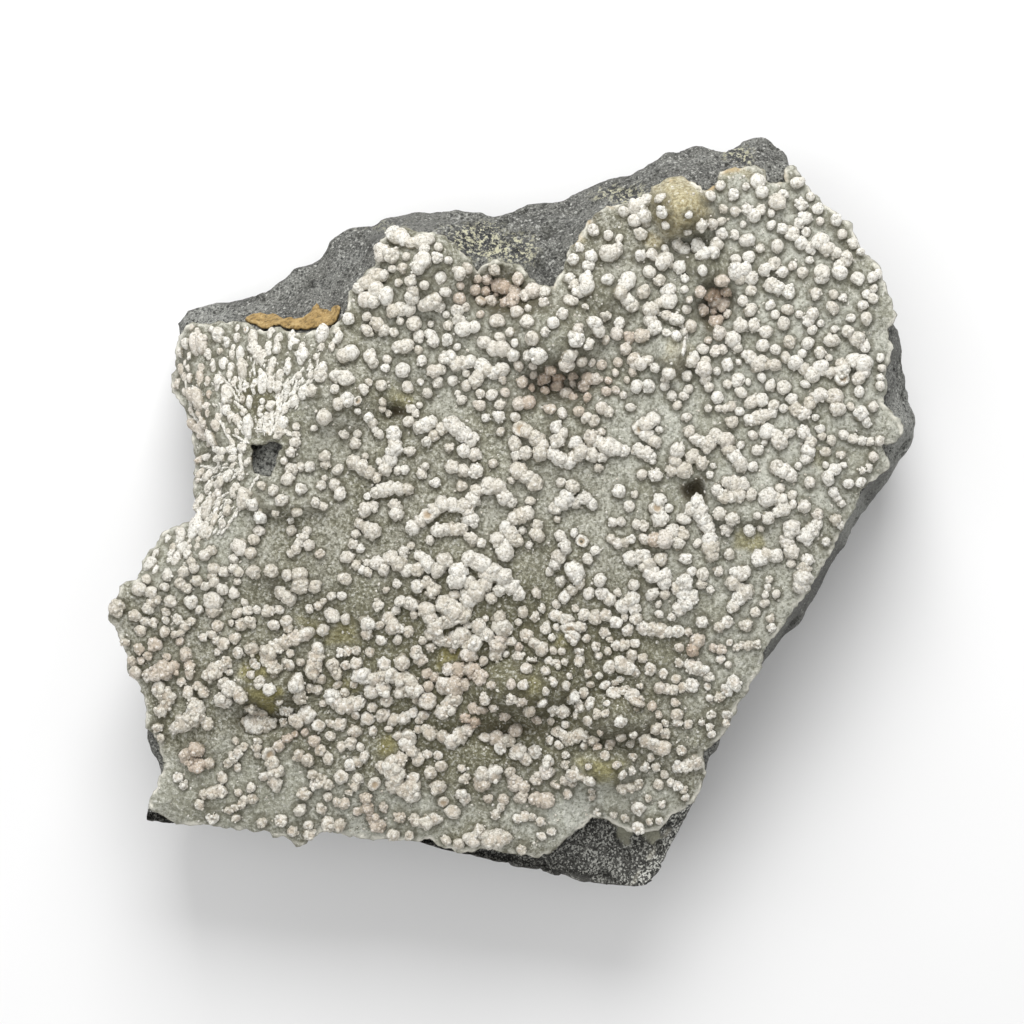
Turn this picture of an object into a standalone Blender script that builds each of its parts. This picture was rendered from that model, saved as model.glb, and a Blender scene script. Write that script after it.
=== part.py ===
# Mesolite on basalt: a broken slab of dark basalt lying on its back. Its upper face is coated by
# a thin pale crust that carries small white balls of mesolite, single, in chains and in clusters.
# A seam of ochre clay shows along the crust's broken upper-left edge.
#
# Lengths are in millimetres until a mesh is made. Places on the face are given as they are seen
# from straight above, at the height of the face, and lift() puts such a place at its real height.

import math
import random

import bpy
import numpy as np
from mathutils import Vector, noise
from mathutils.geometry import delaunay_2d_cdt

MM = 0.001

# Main sizes
FACE_Z = 26.5            # height of the flat part of the face
VIEW_DISTANCE = 290.0    # height above the face from which the outlines are seen
ORIGIN_X = 0.56          # where the middle of the slab is seen
ORIGIN_Y = 0.18
CRUST_THICKNESS = 1.5
GAP = 0.35               # clearance between two pieces that touch
CLAY_THICKNESS = 0.9
CLAY_SWELL = 0.35        # its lumps, as a share of the thickness
CLAY_WAVE = 1.7

# Shape of the face
FLANK_SLOPE = 0.92       # fall of the left flank, as a tangent
FLANK_ROUNDING = 3.2     # radius over which the ridge turns into the flank
LEDGE_DROP = 2.4
LEDGE_WIDTH = 1.6
FOOT_Y = -8.0            # below this the face leans away towards its lower edge
FOOT_SLOPE = 0.13
RELIEF = 0.75            # height of the face's gentle waves
RELIEF_WAVE = 9.0
EDGE_ROLL = 0.9          # how far the crust's edge bends down
EDGE_ROLL_WIDTH = 1.6
NORMAL_STEP = 0.4        # over which the face's direction is measured

# Balls
BALL_SEED = 52
BALL_RADIUS = (0.62, 1.05)
CHAIN_RADIUS = (0.75, 1.05)
BALL_STEP = 1.05         # between the balls of a chain
BALL_COUNT = 1290        # in chains and in seeded groups
BALL_ATTEMPTS = 16000
BALL_EDGE_SPACE = 0.45   # least space between a ball and the crust's edge
BALL_SPACE = 0.98        # least distance of two balls, as a share of their radii's sum
GROUP_SPACE = 0.5        # the same within one group
GROUP_SIZES = (1, 1, 1, 2, 2, 3, 3, 4, 5)
GROUP_TURN = 0.9         # largest bend from ball to ball, in radians
GROUP_STEP = (1.15, 1.5)  # from ball to ball, in ball radii
GROUP_GROWTH = (0.85, 1.15)
GROWING_X = (-49.0, 47.0)
GROWING_Y = (-41.0, 42.0)

# Small balls that crowd the left flank in short rows up and down it
FLANK_COUNT = 190
FLANK_ATTEMPTS = 2400
FLANK_RADIUS = (0.5, 0.72)
FLANK_SIZES = (1, 2, 2, 3, 4)
FLANK_STEP = 1.45        # from ball to ball, in ball radii
FLANK_LEAN = (-0.1, 0.5)  # sideways reach of that step
FLANK_X = (-44.0, -18.0)
FLANK_Y = (-7.0, 22.5)

# The largest balls and the chains' stretches of two or three balls, which this solid carries
LONG_KNOBS = 165
ROUND_KNOBS = 80
LONG_SIDES = 6
ROUND_SIDES = 5
KNOB_FOOT = 0.78         # radius of a knob's foot, in ball radii
KNOB_SWELL = 0.55        # height at which a knob is widest, in ball radii
KNOB_TOP = 1.42          # height of its top, in ball radii
KNOB_SPACE = 0.3         # least space between two knobs
STRAIGHT = 0.8           # least cosine of the bend within one knob
FILL_EDGE_SPACE = 1.3    # least space of the crust's own points to its edge
FILL_KNOB_SPACE = 0.9    # to a knob
FILL_LEAST = 1.4         # to each other
LUMP_SIDES = 6           # of the ring of points that rounds a lump
LUMP_RING = 0.62         # its radius, as a share of the lump's

# Colours as they are seen, in 0 to 255
BASALT_COLOUR = (116, 116, 111)
MESOLITE_COLOUR = (214, 210, 200)
CLAY_COLOUR = (183, 155, 104)

# Basalt
BASALT_SPACING = 2.3     # of the points on its bare top
BASALT_CLEAR = 0.9       # their least distance to an outline
CORE_SPACING = 5.4       # of the points under the crust
CORE_CLEAR = 2.0
CORE_REACH = 3.24        # a hollow of the face lowers the basalt this far around it
CORE_BEARINGS = 8
FILL_SPACING = 4.3       # of the crust's own points between its balls
BASALT_ROUGHNESS = 0.55
BASALT_WAVE = 3.1
RIM_BEND = 1.15          # above 1 the bare basalt falls late towards the rim
ROUGH_FROM = 1.5         # distance to the crust at which it is fully rough
WALL_WAVE = 13.0
GRID_LEFT = -52.0        # the point grid reaches over the whole slab
GRID_FOOT = -50.0
GRID_WIDTH = 104.0
GRID_LENGTH = 100.0
GRID_LOOSENESS = 0.2     # how far its points stray, in spacings

# Rings of the broken wall: share of the rim's height, size, roughness as a share of the size
WALL_LEVELS = (
    (0.76, 0.995, 0.02),
    (0.46, 0.98, 0.035),
    (0.16, 0.935, 0.04),
    (0.0, 0.855, 0.035),
)

CRUST_OUTLINE = (
    (-40.3, 20.5), (-39.6, 22.4), (-38.0, 22.8), (-36.5, 22.6), (-34.5, 23.1), (-32.4, 22.8),
    (-30.0, 22.0), (-28.0, 22.3), (-25.5, 21.6), (-23.3, 21.9), (-21.6, 22.0), (-20.7, 23.6),
    (-19.8, 25.0), (-19.5, 26.5), (-18.0, 28.5), (-16.4, 29.6), (-16.2, 31.5), (-15.8, 32.8),
    (-14.6, 34.0), (-13.0, 34.0), (-10.5, 33.8), (-8.5, 33.4), (-7.0, 32.0), (-5.9, 30.8),
    (-4.3, 29.0), (-3.2, 30.0), (-2.0, 30.4), (-0.3, 29.9), (0.7, 29.6), (2.0, 28.2), (3.5, 27.3),
    (4.7, 27.0), (5.3, 27.9), (6.3, 29.5), (6.5, 31.5), (7.2, 32.3), (8.4, 33.6), (8.8, 34.8),
    (10.1, 35.8), (10.8, 36.8), (12.5, 37.1), (14.2, 37.0), (15.8, 38.0), (16.7, 39.1),
    (18.5, 40.1), (20.5, 40.4), (22.0, 39.4), (23.4, 38.7), (24.6, 39.8), (24.8, 41.0),
    (27.0, 41.5), (30.0, 41.5), (30.2, 40.0), (31.2, 39.4), (32.7, 39.8), (32.6, 41.2),
    (33.6, 41.9), (34.7, 39.8), (36.2, 38.0), (38.6, 36.2), (40.4, 34.7), (41.1, 32.9),
    (42.2, 31.1), (44.0, 29.3), (44.7, 26.9), (45.4, 24.9), (45.8, 23.5), (44.7, 22.1),
    (45.5, 19.9), (44.5, 17.3), (44.6, 14.9), (44.0, 13.4), (45.8, 11.5), (46.7, 10.1),
    (45.8, 8.9), (44.0, 8.3), (44.6, 6.7), (45.2, 5.8), (43.4, 4.3), (41.6, 2.6), (40.1, -0.5),
    (38.7, -3.1), (37.5, -5.8), (35.8, -8.2), (34.4, -10.3), (32.9, -12.2), (31.4, -14.4),
    (30.2, -16.3), (29.5, -18.3), (28.6, -19.9), (27.8, -21.4), (26.6, -23.1), (25.7, -25.2),
    (24.6, -27.0), (23.6, -27.7), (22.5, -28.3), (22.6, -29.6), (23.1, -30.6), (22.4, -33.1),
    (21.2, -34.7), (19.0, -36.0), (17.7, -37.7), (15.2, -38.2), (13.0, -37.6), (11.3, -36.5),
    (9.4, -36.2), (8.0, -37.7), (6.3, -38.9), (5.1, -40.3), (2.6, -41.2), (-0.4, -40.6),
    (-2.8, -40.1), (-5.8, -40.4), (-8.2, -40.0), (-10.0, -38.8), (-11.0, -39.3), (-13.6, -39.1),
    (-17.2, -38.8), (-20.8, -38.4), (-23.0, -37.9), (-25.6, -40.0), (-27.5, -38.5),
    (-31.6, -37.9), (-36.4, -37.3), (-40.4, -37.1), (-41.9, -36.2), (-43.5, -35.2),
    (-43.4, -34.2), (-42.9, -33.0), (-42.3, -31.6), (-41.4, -29.8), (-42.2, -28.8),
    (-42.4, -27.6), (-43.2, -26.4), (-44.0, -25.6), (-44.1, -24.0), (-44.3, -22.0),
    (-45.0, -20.6), (-45.9, -19.3), (-46.2, -17.5), (-46.9, -15.4), (-47.5, -13.3),
    (-48.5, -12.7), (-47.8, -10.7), (-47.1, -8.8), (-44.8, -7.9), (-44.2, -5.8), (-43.9, -4.6),
    (-42.4, -3.1), (-41.8, -2.0), (-40.0, -1.7), (-38.1, -0.5), (-38.3, 2.9), (-38.2, 6.5),
    (-38.6, 10.1), (-39.2, 12.5), (-40.6, 14.3), (-41.0, 15.8), (-40.4, 17.9),
)

# A bare spot on the left flank where the crust has come away
CRUST_HOLE = (
    (-31.6, 8.3), (-30.5, 8.5), (-28.9, 8.7), (-27.6, 8.2), (-28.6, 6.5), (-28.5, 5.5),
    (-29.0, 4.5), (-31.3, 4.7), (-31.2, 6.5),
)

BASALT_OUTLINE = (
    (-39.9, 20.6), (-40.5, 23.0), (-38.8, 24.7), (-35.8, 25.4), (-33.4, 25.9), (-30.2, 26.6),
    (-28.0, 28.0), (-25.6, 29.4), (-24.2, 29.5), (-23.0, 30.8), (-21.8, 32.9), (-19.9, 34.1),
    (-16.3, 34.6), (-15.7, 35.4), (-12.4, 35.9), (-7.0, 36.5), (-4.6, 36.2), (-2.0, 35.8),
    (-0.2, 36.5), (1.4, 37.1), (6.2, 37.1), (8.6, 38.4), (11.0, 40.0), (14.0, 40.8),
    (17.0, 42.2), (19.7, 43.4), (21.8, 44.3), (23.3, 44.3), (24.8, 43.7), (26.3, 43.9),
    (28.1, 45.1), (29.9, 45.2), (31.4, 44.5), (33.2, 43.3), (33.6, 41.7), (34.2, 39.7),
    (35.8, 37.6), (38.2, 35.8), (39.9, 34.3), (40.6, 32.6), (41.7, 30.7), (43.5, 28.9),
    (44.2, 26.7), (45.0, 24.9), (46.3, 22.1), (46.5, 19.1), (47.1, 16.1), (47.8, 13.4),
    (48.4, 11.3), (47.9, 8.9), (46.7, 6.2), (44.6, 3.8), (42.5, 0.7), (40.6, -2.2),
    (38.9, -4.9), (37.0, -7.7), (35.6, -10.3), (33.8, -13.0), (31.7, -15.7), (30.2, -17.9),
    (28.4, -19.6), (27.3, -21.1), (26.1, -22.9), (25.2, -25.0), (24.8, -27.7), (23.9, -29.0),
    (23.3, -30.1), (22.7, -32.5), (21.4, -35.3), (19.6, -37.7), (18.5, -40.9), (17.0, -44.4),
    (15.8, -45.1), (12.8, -45.0), (9.2, -44.4), (5.6, -43.4), (2.0, -42.5), (-1.6, -41.8),
    (-5.2, -41.2), (-8.8, -40.3), (-13.6, -38.7), (-20.8, -38.0), (-27.5, -38.0),
    (-31.6, -37.4), (-36.4, -36.9), (-41.8, -37.2), (-44.0, -36.7), (-43.9, -34.9),
    (-42.9, -33.3), (-42.2, -31.4), (-42.8, -30.2), (-43.6, -28.4), (-44.2, -26.6),
    (-43.6, -24.1), (-43.9, -21.9), (-45.3, -19.1), (-46.3, -15.2), (-47.0, -13.6),
    (-47.8, -12.4), (-47.2, -10.9), (-46.5, -9.2), (-44.3, -8.3), (-43.6, -6.0), (-43.3, -4.9),
    (-41.9, -3.6), (-41.3, -2.5), (-39.6, -2.2), (-37.6, -0.9), (-37.7, 6.5), (-38.1, 9.9),
    (-38.7, 12.1), (-40.0, 14.1), (-40.4, 15.8), (-39.9, 17.9),
)

CLAY_OUTLINE = (
    (-32.3, 23.3), (-31.2, 23.9), (-30.0, 23.7), (-28.5, 23.9), (-27.5, 23.5), (-26.0, 23.2),
    (-25.0, 23.3), (-24.5, 24.1), (-23.6, 25.5), (-22.9, 24.3), (-22.0, 24.0), (-21.4, 24.8),
    (-20.7, 24.9), (-20.9, 24.0), (-21.7, 22.6), (-23.4, 22.4), (-25.5, 22.1), (-28.0, 22.8),
    (-30.0, 22.5),
)

# The ridge beyond which the left flank falls away, and a small ledge lower on that flank
RIDGE = (
    (-15.7, 35.0), (-17.0, 30.2), (-19.6, 25.7), (-20.2, 20.9), (-23.5, 17.0), (-25.6, 13.7),
    (-27.7, 8.9), (-31.6, 2.9), (-33.8, -1.3), (-38.8, -5.5), (-41.8, -7.3), (-46.6, -8.9),
    (-60.0, -9.2),
)
LEDGE = (
    (-40.0, 24.0), (-39.6, 19.0), (-39.2, 16.1), (-37.6, 11.3), (-35.5, 7.7), (-35.0, 1.7),
    (-37.0, -3.1), (-41.5, -6.4), (-46.6, -8.0), (-60.0, -8.4),
)

# Lumps and hollows of the face: place, half-width, reach up, reach down, height
LUMPS = (
    (-10.0, 29.3, 5.6, 5.0, 5.0, 2.0),
    (-2.2, 26.9, 3.9, 3.2, 3.4, -3.0),
    (5.0, 21.5, 6.2, 5.2, 4.8, 4.0),
    (5.6, 15.9, 4.8, 2.4, 2.8, -2.5),
    (20.3, 37.0, 4.4, 3.4, 4.4, 4.0),
    (21.0, 32.6, 2.8, 2.2, 2.2, -1.5),
    (22.5, 29.8, 2.4, 2.4, 2.4, 2.0),
    (21.0, 26.5, 2.0, 2.0, 2.0, 1.4),
    (24.4, 25.2, 2.8, 3.0, 3.6, -3.6),
    (18.9, 19.3, 2.4, 3.2, 3.2, 3.0),
    (10.4, 26.6, 3.0, 2.8, 2.8, 1.5),
    (-20.8, 13.7, 4.4, 4.2, 4.2, 1.8),
    (-27.0, 1.2, 5.2, 4.2, 1.8, 2.2),
    (-29.3, -7.3, 1.6, 1.6, 1.6, 1.2),
    (-29.8, -21.4, 4.6, 3.8, 1.6, 2.2),
    (-29.8, -23.8, 4.2, 1.2, 3.2, -1.8),
    (0.8, -21.1, 6.8, 3.8, 3.2, 3.8),
    (-1.0, -26.0, 8.0, 2.2, 3.2, -1.4),
    (12.4, -24.8, 5.2, 3.6, 2.4, 3.3),
    (11.2, -30.6, 4.8, 3.0, 2.6, 2.8),
    (4.4, -9.0, 2.8, 7.0, 7.0, -1.0),
    (28.0, -0.4, 3.8, 2.8, 1.2, 1.2),
    (21.8, 2.8, 1.5, 1.6, 1.4, -2.2),
    (-14.2, 12.2, 1.5, 1.4, 1.4, -2.0),
    (-8.8, 28.4, 1.0, 1.0, 1.0, -1.3),
)

# Height of the basalt's rim, by the bearing in degrees at which it is seen
RIM_HEIGHTS = (
    (-180, 17.0), (-170, 21.0), (-150, 21.0), (-135, 20.0), (-112, 21.0), (-100, 20.0),
    (-90, 18.0), (-80, 19.0), (-70, 19.0), (-62, 17.0), (-55, 20.0), (-36, 22.0), (-30, 17.0),
    (-10, 13.0), (8, 12.0), (16, 12.5), (26, 17.0), (34, 22.5), (46, 22.5), (52, 19.0),
    (60, 16.0), (72, 14.0), (84, 13.0), (96, 13.5), (112, 13.0), (124, 12.0), (140, 9.0),
    (152, 7.0), (165, 8.0), (180, 9.0),
)

# Chains of balls, each through the places where it bends
CHAINS = (
    ((-12.0, -1.6), (-8.6, 1.2), (-6.0, 1.0), (-5.2, -0.6), (-6.2, -1.8), (-9.0, -2.0)),
    ((-5.3, 0.9), (-4.4, 2.8)),
    ((-10.4, 8.6), (-8.6, 10.2), (-9.8, 11.0), (-11.3, 10.4)),
    ((-7.4, 10.7), (-6.0, 9.5), (-5.0, 8.9)),
    ((-14.3, 9.6), (-14.2, 7.6), (-15.3, 5.4)),
    ((-19.2, 6.2), (-16.4, 4.4)),
    ((-16.4, 2.6), (-14.8, 3.1), (-12.7, 3.0)),
    ((-18.4, -1.2), (-16.8, -2.1)),
    ((-14.7, -5.3), (-12.8, -6.8)),
    ((-16.4, -5.9), (-15.6, -6.7)),
    ((-11.1, -5.1), (-10.2, -6.0), (-11.5, -6.7)),
    ((-8.3, -5.5), (-8.9, -6.6)),
    ((-5.3, -5.4), (-3.8, -5.9), (-2.4, -7.0), (-1.2, -7.5)),
    ((-3.2, -7.3), (-3.5, -8.4), (-5.3, -10.1), (-5.7, -11.2), (-7.0, -11.6), (-8.3, -10.7)),
    ((-7.9, -12.6), (-6.1, -12.1)),
    ((-1.7, -9.0), (-0.3, -8.6), (0.7, -9.4)),
    ((-6.6, -6.8), (-6.9, -7.9), (-5.4, -8.1)),
    ((-11.5, -8.6), (-10.3, -8.2), (-9.6, -9.1)),
    ((-13.5, -10.3), (-12.2, -10.7)),
    ((-10.4, -11.5), (-9.4, -13.4), (-9.8, -14.2), (-8.8, -15.0)),
    ((-8.0, -15.2), (-6.2, -14.6)),
    ((-5.5, -15.6), (-4.6, -15.4), (-5.4, -16.7)),
    ((-4.2, -13.4), (-3.2, -14.4)),
    ((-1.7, -12.3), (-1.3, -13.6), (-2.2, -16.9)),
    ((-2.9, 3.3), (-1.8, 3.2), (-1.1, 2.0), (-0.3, 1.5)),
    ((-7.3, 5.6), (-6.0, 5.2), (-4.5, 5.1)),
    ((-6.0, 7.5), (-4.7, 7.1)),
    ((0.2, 8.5), (0.3, 7.0), (1.5, 7.3)),
    ((0.9, 10.2), (2.4, 9.5), (3.5, 8.3), (3.3, 7.3)),
    ((4.8, 7.3), (5.6, 6.6)),
    ((0.6, 5.1), (1.4, 4.4), (2.5, 3.7)),
    ((5.1, 10.4), (5.9, 9.6), (5.3, 8.8)),
    ((7.5, 8.6), (7.9, 7.5), (6.6, 6.2)),
    ((9.2, 9.2), (10.6, 8.3), (13.2, 7.5)),
    ((9.3, 7.2), (10.6, 6.8)),
    ((7.1, 3.4), (6.4, 2.0), (5.0, 0.6)),
    ((7.4, 1.4), (8.6, 1.9), (9.5, 1.2)),
    ((1.6, 0.1), (0.0, -0.5), (-0.9, -1.6), (0.2, -3.1)),
    ((2.9, -1.3), (2.9, -2.5)),
    ((-2.0, -3.0), (-1.0, -3.8), (-1.1, -4.7)),
    ((7.4, -6.7), (8.0, -8.3), (6.4, -9.9)),
    ((5.1, -12.2), (6.6, -12.8), (7.2, -14.7)),
    ((8.5, -12.1), (8.1, -13.5)),
    ((9.7, -12.4), (11.0, -12.1), (12.2, -12.9)),
    ((28.5, 13.4), (29.8, 13.7), (31.2, 13.1), (31.0, 12.2), (28.4, 11.3)),
    ((33.5, 13.8), (33.9, 12.5)),
    ((36.7, 14.3), (35.5, 13.3), (34.9, 12.1)),
    ((38.6, 14.0), (38.9, 12.6)),
    ((30.4, 9.9), (31.5, 9.5), (31.9, 8.7)),
    ((21.0, 9.9), (21.8, 8.9), (23.4, 8.3)),
    ((24.3, 9.3), (25.5, 8.8)),
    ((16.7, 11.3), (15.2, 10.3), (16.9, 8.7)),
    ((15.0, 7.7), (16.5, 6.8)),
    ((19.6, 7.6), (19.0, 5.3), (20.4, 5.3)),
    ((21.4, 6.9), (22.5, 6.1)),
    ((25.7, 7.7), (27.2, 6.0)),
    ((31.6, 5.6), (33.2, 4.6)),
    ((34.8, 9.8), (35.6, 8.6), (35.1, 6.7)),
    ((24.4, 2.9), (25.6, 3.8), (27.4, 3.5)),
    ((25.3, 2.1), (27.0, 2.0), (28.5, 2.1)),
    ((30.5, 2.0), (32.2, 1.8)),
    ((38.5, 5.3), (37.7, 4.3)),
    ((17.5, 1.7), (17.0, 0.7), (17.5, -0.5)),
    ((21.2, 0.4), (20.4, -0.6)),
    ((22.0, 1.1), (22.5, -0.4)),
    ((19.0, -2.1), (20.3, -2.5), (19.8, -3.5)),
    ((15.6, -3.0), (18.1, -3.1)),
    ((23.2, -1.7), (23.4, -3.1), (23.7, -4.9)),
    ((14.1, -5.3), (15.8, -4.9), (16.6, -7.3)),
    ((18.0, -7.4), (18.1, -8.2)),
    ((20.5, -8.1), (19.5, -8.9), (21.3, -10.0), (19.9, -11.3)),
    ((26.3, -8.2), (26.6, -7.0), (27.5, -7.0)),
    ((29.5, -5.3), (30.3, -4.8), (31.4, -5.0)),
    ((35.2, -5.5), (34.8, -6.6), (34.4, -8.5)),
    ((36.4, 0.1), (36.3, -1.2), (35.0, -2.6)),
    ((33.3, -1.7), (32.8, -3.3), (33.3, -4.5)),
    ((30.4, -0.4), (32.3, 0.6)),
    ((27.7, -9.2), (26.3, -11.1)),
    ((25.6, -12.9), (24.6, -13.5)),
    ((14.7, -12.5), (15.5, -13.6), (17.5, -13.9)),
    ((18.4, -14.1), (19.6, -14.0)),
    ((14.4, -10.0), (13.0, -11.1), (14.5, -11.3)),
    ((11.5, -18.2), (12.9, -17.9), (14.5, -18.9)),
    ((21.3, -18.2), (22.9, -18.7), (23.4, -19.5)),
    ((17.5, -20.8), (19.1, -21.1), (21.3, -20.6)),
    ((26.4, -20.2), (24.7, -21.9)),
    ((12.0, -21.8), (13.6, -21.3), (14.6, -22.8)),
    ((16.9, -25.5), (18.2, -26.3)),
    ((15.9, -27.1), (17.9, -27.9)),
    ((19.8, -30.2), (21.8, -29.8)),
    ((12.9, -32.5), (14.7, -32.2)),
    ((-18.1, -19.4), (-16.6, -19.7), (-14.6, -19.3), (-12.3, -20.1)),
    ((-17.0, -21.1), (-15.6, -20.8), (-15.2, -22.3)),
    ((-13.4, -21.1), (-12.0, -20.9)),
    ((-7.8, -18.6), (-5.3, -18.5), (-3.7, -19.7)),
    ((-8.3, -20.6), (-5.7, -20.5)),
    ((-15.6, -24.0), (-14.4, -24.6), (-13.1, -24.4)),
    ((-7.2, -22.2), (-8.3, -23.6)),
    ((-10.0, -26.1), (-8.6, -26.6), (-7.4, -27.3), (-5.5, -25.7)),
    ((-12.5, -26.5), (-12.8, -27.6), (-11.4, -29.3)),
    ((-13.5, -29.3), (-15.7, -30.3), (-13.9, -30.9), (-14.4, -32.4), (-12.2, -33.4), (-12.0, -31.6)),
    ((-2.1, -26.9), (-1.7, -28.3), (-0.6, -27.3)),
    ((0.5, -28.7), (1.4, -29.3), (2.6, -28.6)),
    ((-0.5, -30.9), (0.1, -32.2), (1.2, -32.7)),
    ((0.9, -33.8), (2.4, -34.1), (4.0, -34.3)),
    ((-5.0, -39.0), (-4.1, -38.0), (-2.8, -38.8), (-0.9, -38.6)),
    ((-3.8, -32.2), (-3.6, -31.0), (-2.4, -31.1)),
    ((5.3, -26.1), (6.7, -26.9), (8.5, -26.2), (9.5, -26.9)),
    ((7.5, -31.1), (9.2, -31.7)),
    ((-43.8, -19.2), (-40.9, -18.4)),
    ((-34.4, -17.7), (-36.5, -19.3)),
    ((-29.5, -17.4), (-28.7, -18.8)),
    ((-29.4, -16.6), (-27.4, -15.3), (-25.0, -14.3)),
    ((-23.5, -16.2), (-24.1, -18.8)),
    ((-42.5, -20.9), (-41.2, -22.1), (-42.2, -23.6)),
    ((-38.3, -22.6), (-37.8, -24.1), (-40.3, -25.5)),
    ((-34.7, -20.3), (-32.6, -21.5)),
    ((-26.4, -20.4), (-26.0, -21.7)),
    ((-21.7, -21.8), (-20.6, -23.1), (-18.7, -22.6)),
    ((-32.2, -24.9), (-30.8, -25.8), (-29.1, -25.3)),
    ((-38.0, -28.1), (-39.1, -28.9), (-38.1, -30.0)),
    ((-29.3, -28.7), (-28.4, -30.8), (-28.5, -32.1)),
    ((-19.0, -26.0), (-19.5, -27.4)),
    ((-14.3, 33.5), (-12.9, 32.6)), ((-9.2, 33.2),), ((-12, 32.3), (-10.2, 32.6)),
    ((-10.6, 31.6),), ((-15.4, 31.2), (-14.3, 30.8)), ((-9.3, 30.6),), ((-13.1, 29.5),),
    ((-11.3, 29.5), (-10.8, 30.3)), ((-16.2, 28.4), (-15.3, 28.5)), ((-12.2, 28),),
    ((-18.4, 26.9), (-17.4, 27.6)), ((-16.4, 26.7), (-15.2, 26)), ((-17.6, 25.6), (-16.8, 25.4)),
    ((-12.1, 26.1), (-11.9, 26.9)), ((-10.8, 25.2), (-9.4, 26)), ((-8.9, 25),),
    ((-14.5, 24.4), (-12.5, 24.8)), ((-12, 22.9),), ((-6.7, 24.4), (-6.5, 23.2), (-6, 22.2)),
    ((-7.8, 22.6),), ((-4.7, 22.4),), ((-17.4, 22), (-16.2, 22.8), (-15.5, 22.1)),
    ((-14.4, 21.8),), ((-11.4, 21.3),), ((-9.9, 21.4), (-9.6, 20.7)), ((-7.9, 20.9),),
    ((-13.8, 20), (-12.9, 20.1)), ((-3.5, 20.6), (-2.4, 19.9), (-1.3, 19.9)), ((-1.6, 21.2),),
    ((-0.2, 21.8),), ((0.2, 19.3),), ((2, 19.3), (3.1, 19.2)), ((2.4, 21.1),), ((1.7, 23),),
    ((0.6, 24),), ((4.8, 22.8), (5.8, 23.7)), ((9.2, 22.8), (9.7, 22)), ((7.5, 22.1), (7.4, 21)),
    ((8.7, 20.4),), ((6.6, 19.2), (6.3, 18.4)), ((-17.2, 18.9), (-16.8, 18.1)),
    ((-8.4, 18.6), (-7.6, 18.8)), ((-6.8, 18), (-5.2, 18.3)), ((-13.3, 17.3),),
    ((-9.6, 17.2), (-8.8, 17.4)), ((-9.1, 15.9),), ((-3.8, 17.8), (-2.3, 16.9)), ((-1.3, 17.3),),
    ((-5.6, 15.4), (-4.6, 16), (-4.2, 16.6)), ((-12.7, 15.2),), ((-15.9, 15.4),), ((0.9, 15.8),),
    ((-1.3, 16.2),), ((3.1, 15.9), (3.5, 16.6)), ((5.3, 16.6),), ((7.2, 16.8),),
    ((9.3, 16.4), (10.1, 16.3)), ((5.2, 15.1),), ((8.7, 15.2),), ((-2.3, 29.6), (-1.2, 29.7)),
    ((-3.3, 28.3),), ((-5, 26.8),), ((-1.8, 27.6), (-0.8, 27.3)), ((0.8, 28.4),), ((-3.6, 26.6),),
    ((-2.8, 25.2),), ((-4.2, 25.2),), ((-0.8, 25.2), (0.3, 25.4)), ((-5.8, 24.8),),
    ((0.5, 26.6),), ((1.6, 26.1), (2.2, 26.6), (3.8, 26.2)), ((6.8, 28.2), (8.2, 26.6)),
    ((6.6, 25.3),), ((9, 27.1), (8.9, 28)), ((11.2, 27.9),), ((9.3, 30.8),), ((9, 29.8),),
    ((11.3, 31.2), (12.3, 31.6)), ((11.4, 33.4),), ((9.6, 34),), ((7.3, 30.5),), ((12.4, 21.6),),
    ((13.2, 36.1),), ((14.7, 36.5), (15.3, 36.9)), ((16.3, 37.5),), ((15.8, 35.6), (14.5, 35.1)),
    ((18.1, 36.2),), ((15.3, 33.5),), ((15.2, 31),), ((16.6, 31.1),), ((18, 30.3), (17.8, 29.8)),
    ((16.3, 29),), ((17.5, 28),), ((13.7, 28), (12.5, 26.5)), ((15.6, 26.6),),
    ((14.2, 25), (13.6, 25.6)), ((18.8, 26.8), (18.6, 25.6)), ((17.5, 25.3),), ((16.4, 24.5),),
    ((18.3, 23.8), (19.4, 23.3)), ((16.4, 23.2), (16.9, 22.3)), ((12.7, 22.9),),
    ((13.9, 21.2), (15.4, 21.3)), ((13.5, 19.8),), ((12.6, 18.2),), ((14.4, 18.6), (15.2, 18)),
    ((16.1, 18.4),), ((14.3, 17.1),), ((14.8, 15.3), (16.2, 15.3)), ((18.7, 17.2),),
    ((22.3, 31.6), (22.8, 30.8), (23.7, 31.1)), ((24.4, 32.2),), ((25, 33.5),),
    ((22.3, 34.9), (23.5, 35)), ((23.3, 37.9),), ((25.2, 36.6),), ((26.4, 38.3),),
    ((28, 36.5), (28.8, 35.8)), ((29.6, 36.5),), ((29.7, 38.5), (29.2, 39.8)),
    ((31.5, 37.3), (32.2, 38.2)), ((33.9, 39.7),), ((34.4, 37),), ((34.2, 34.8), (35, 35.4)),
    ((36.4, 36.4),), ((38.5, 35),), ((32.2, 34.2),), ((33.4, 33.6),),
    ((34.5, 32.4), (35.6, 31.8)), ((31.6, 32.1),), ((29.5, 31.8),), ((28.2, 30.8),),
    ((36.8, 32.6), (37.5, 31.8), (38.6, 31.2), (39.7, 30.5)), ((39, 29.7), (39, 28.9)),
    ((40.6, 32.4),), ((41.2, 28.2),), ((26.6, 29), (27.1, 28.2)), ((27.7, 29.3),),
    ((28.4, 28.3),), ((30, 29.2),), ((31.2, 30),), ((32.2, 29),), ((34.7, 28.9),),
    ((36.9, 28.9), (36.9, 28.2)), ((30.8, 27.4), (31.8, 27), (33, 26.6)), ((28.4, 26.8),),
    ((28.4, 24.4),), ((30.8, 25),), ((32.9, 24.4),), ((36.2, 26.4),), ((38.2, 24.7),),
    ((35.8, 23.9), (35.4, 23.2)), ((32.4, 22.8),), ((41.8, 25),), ((42.2, 23.4),),
    ((27.2, 22.6),), ((28.8, 22.6),), ((30.3, 21.8),), ((26.3, 21), (26.9, 19.9)),
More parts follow.
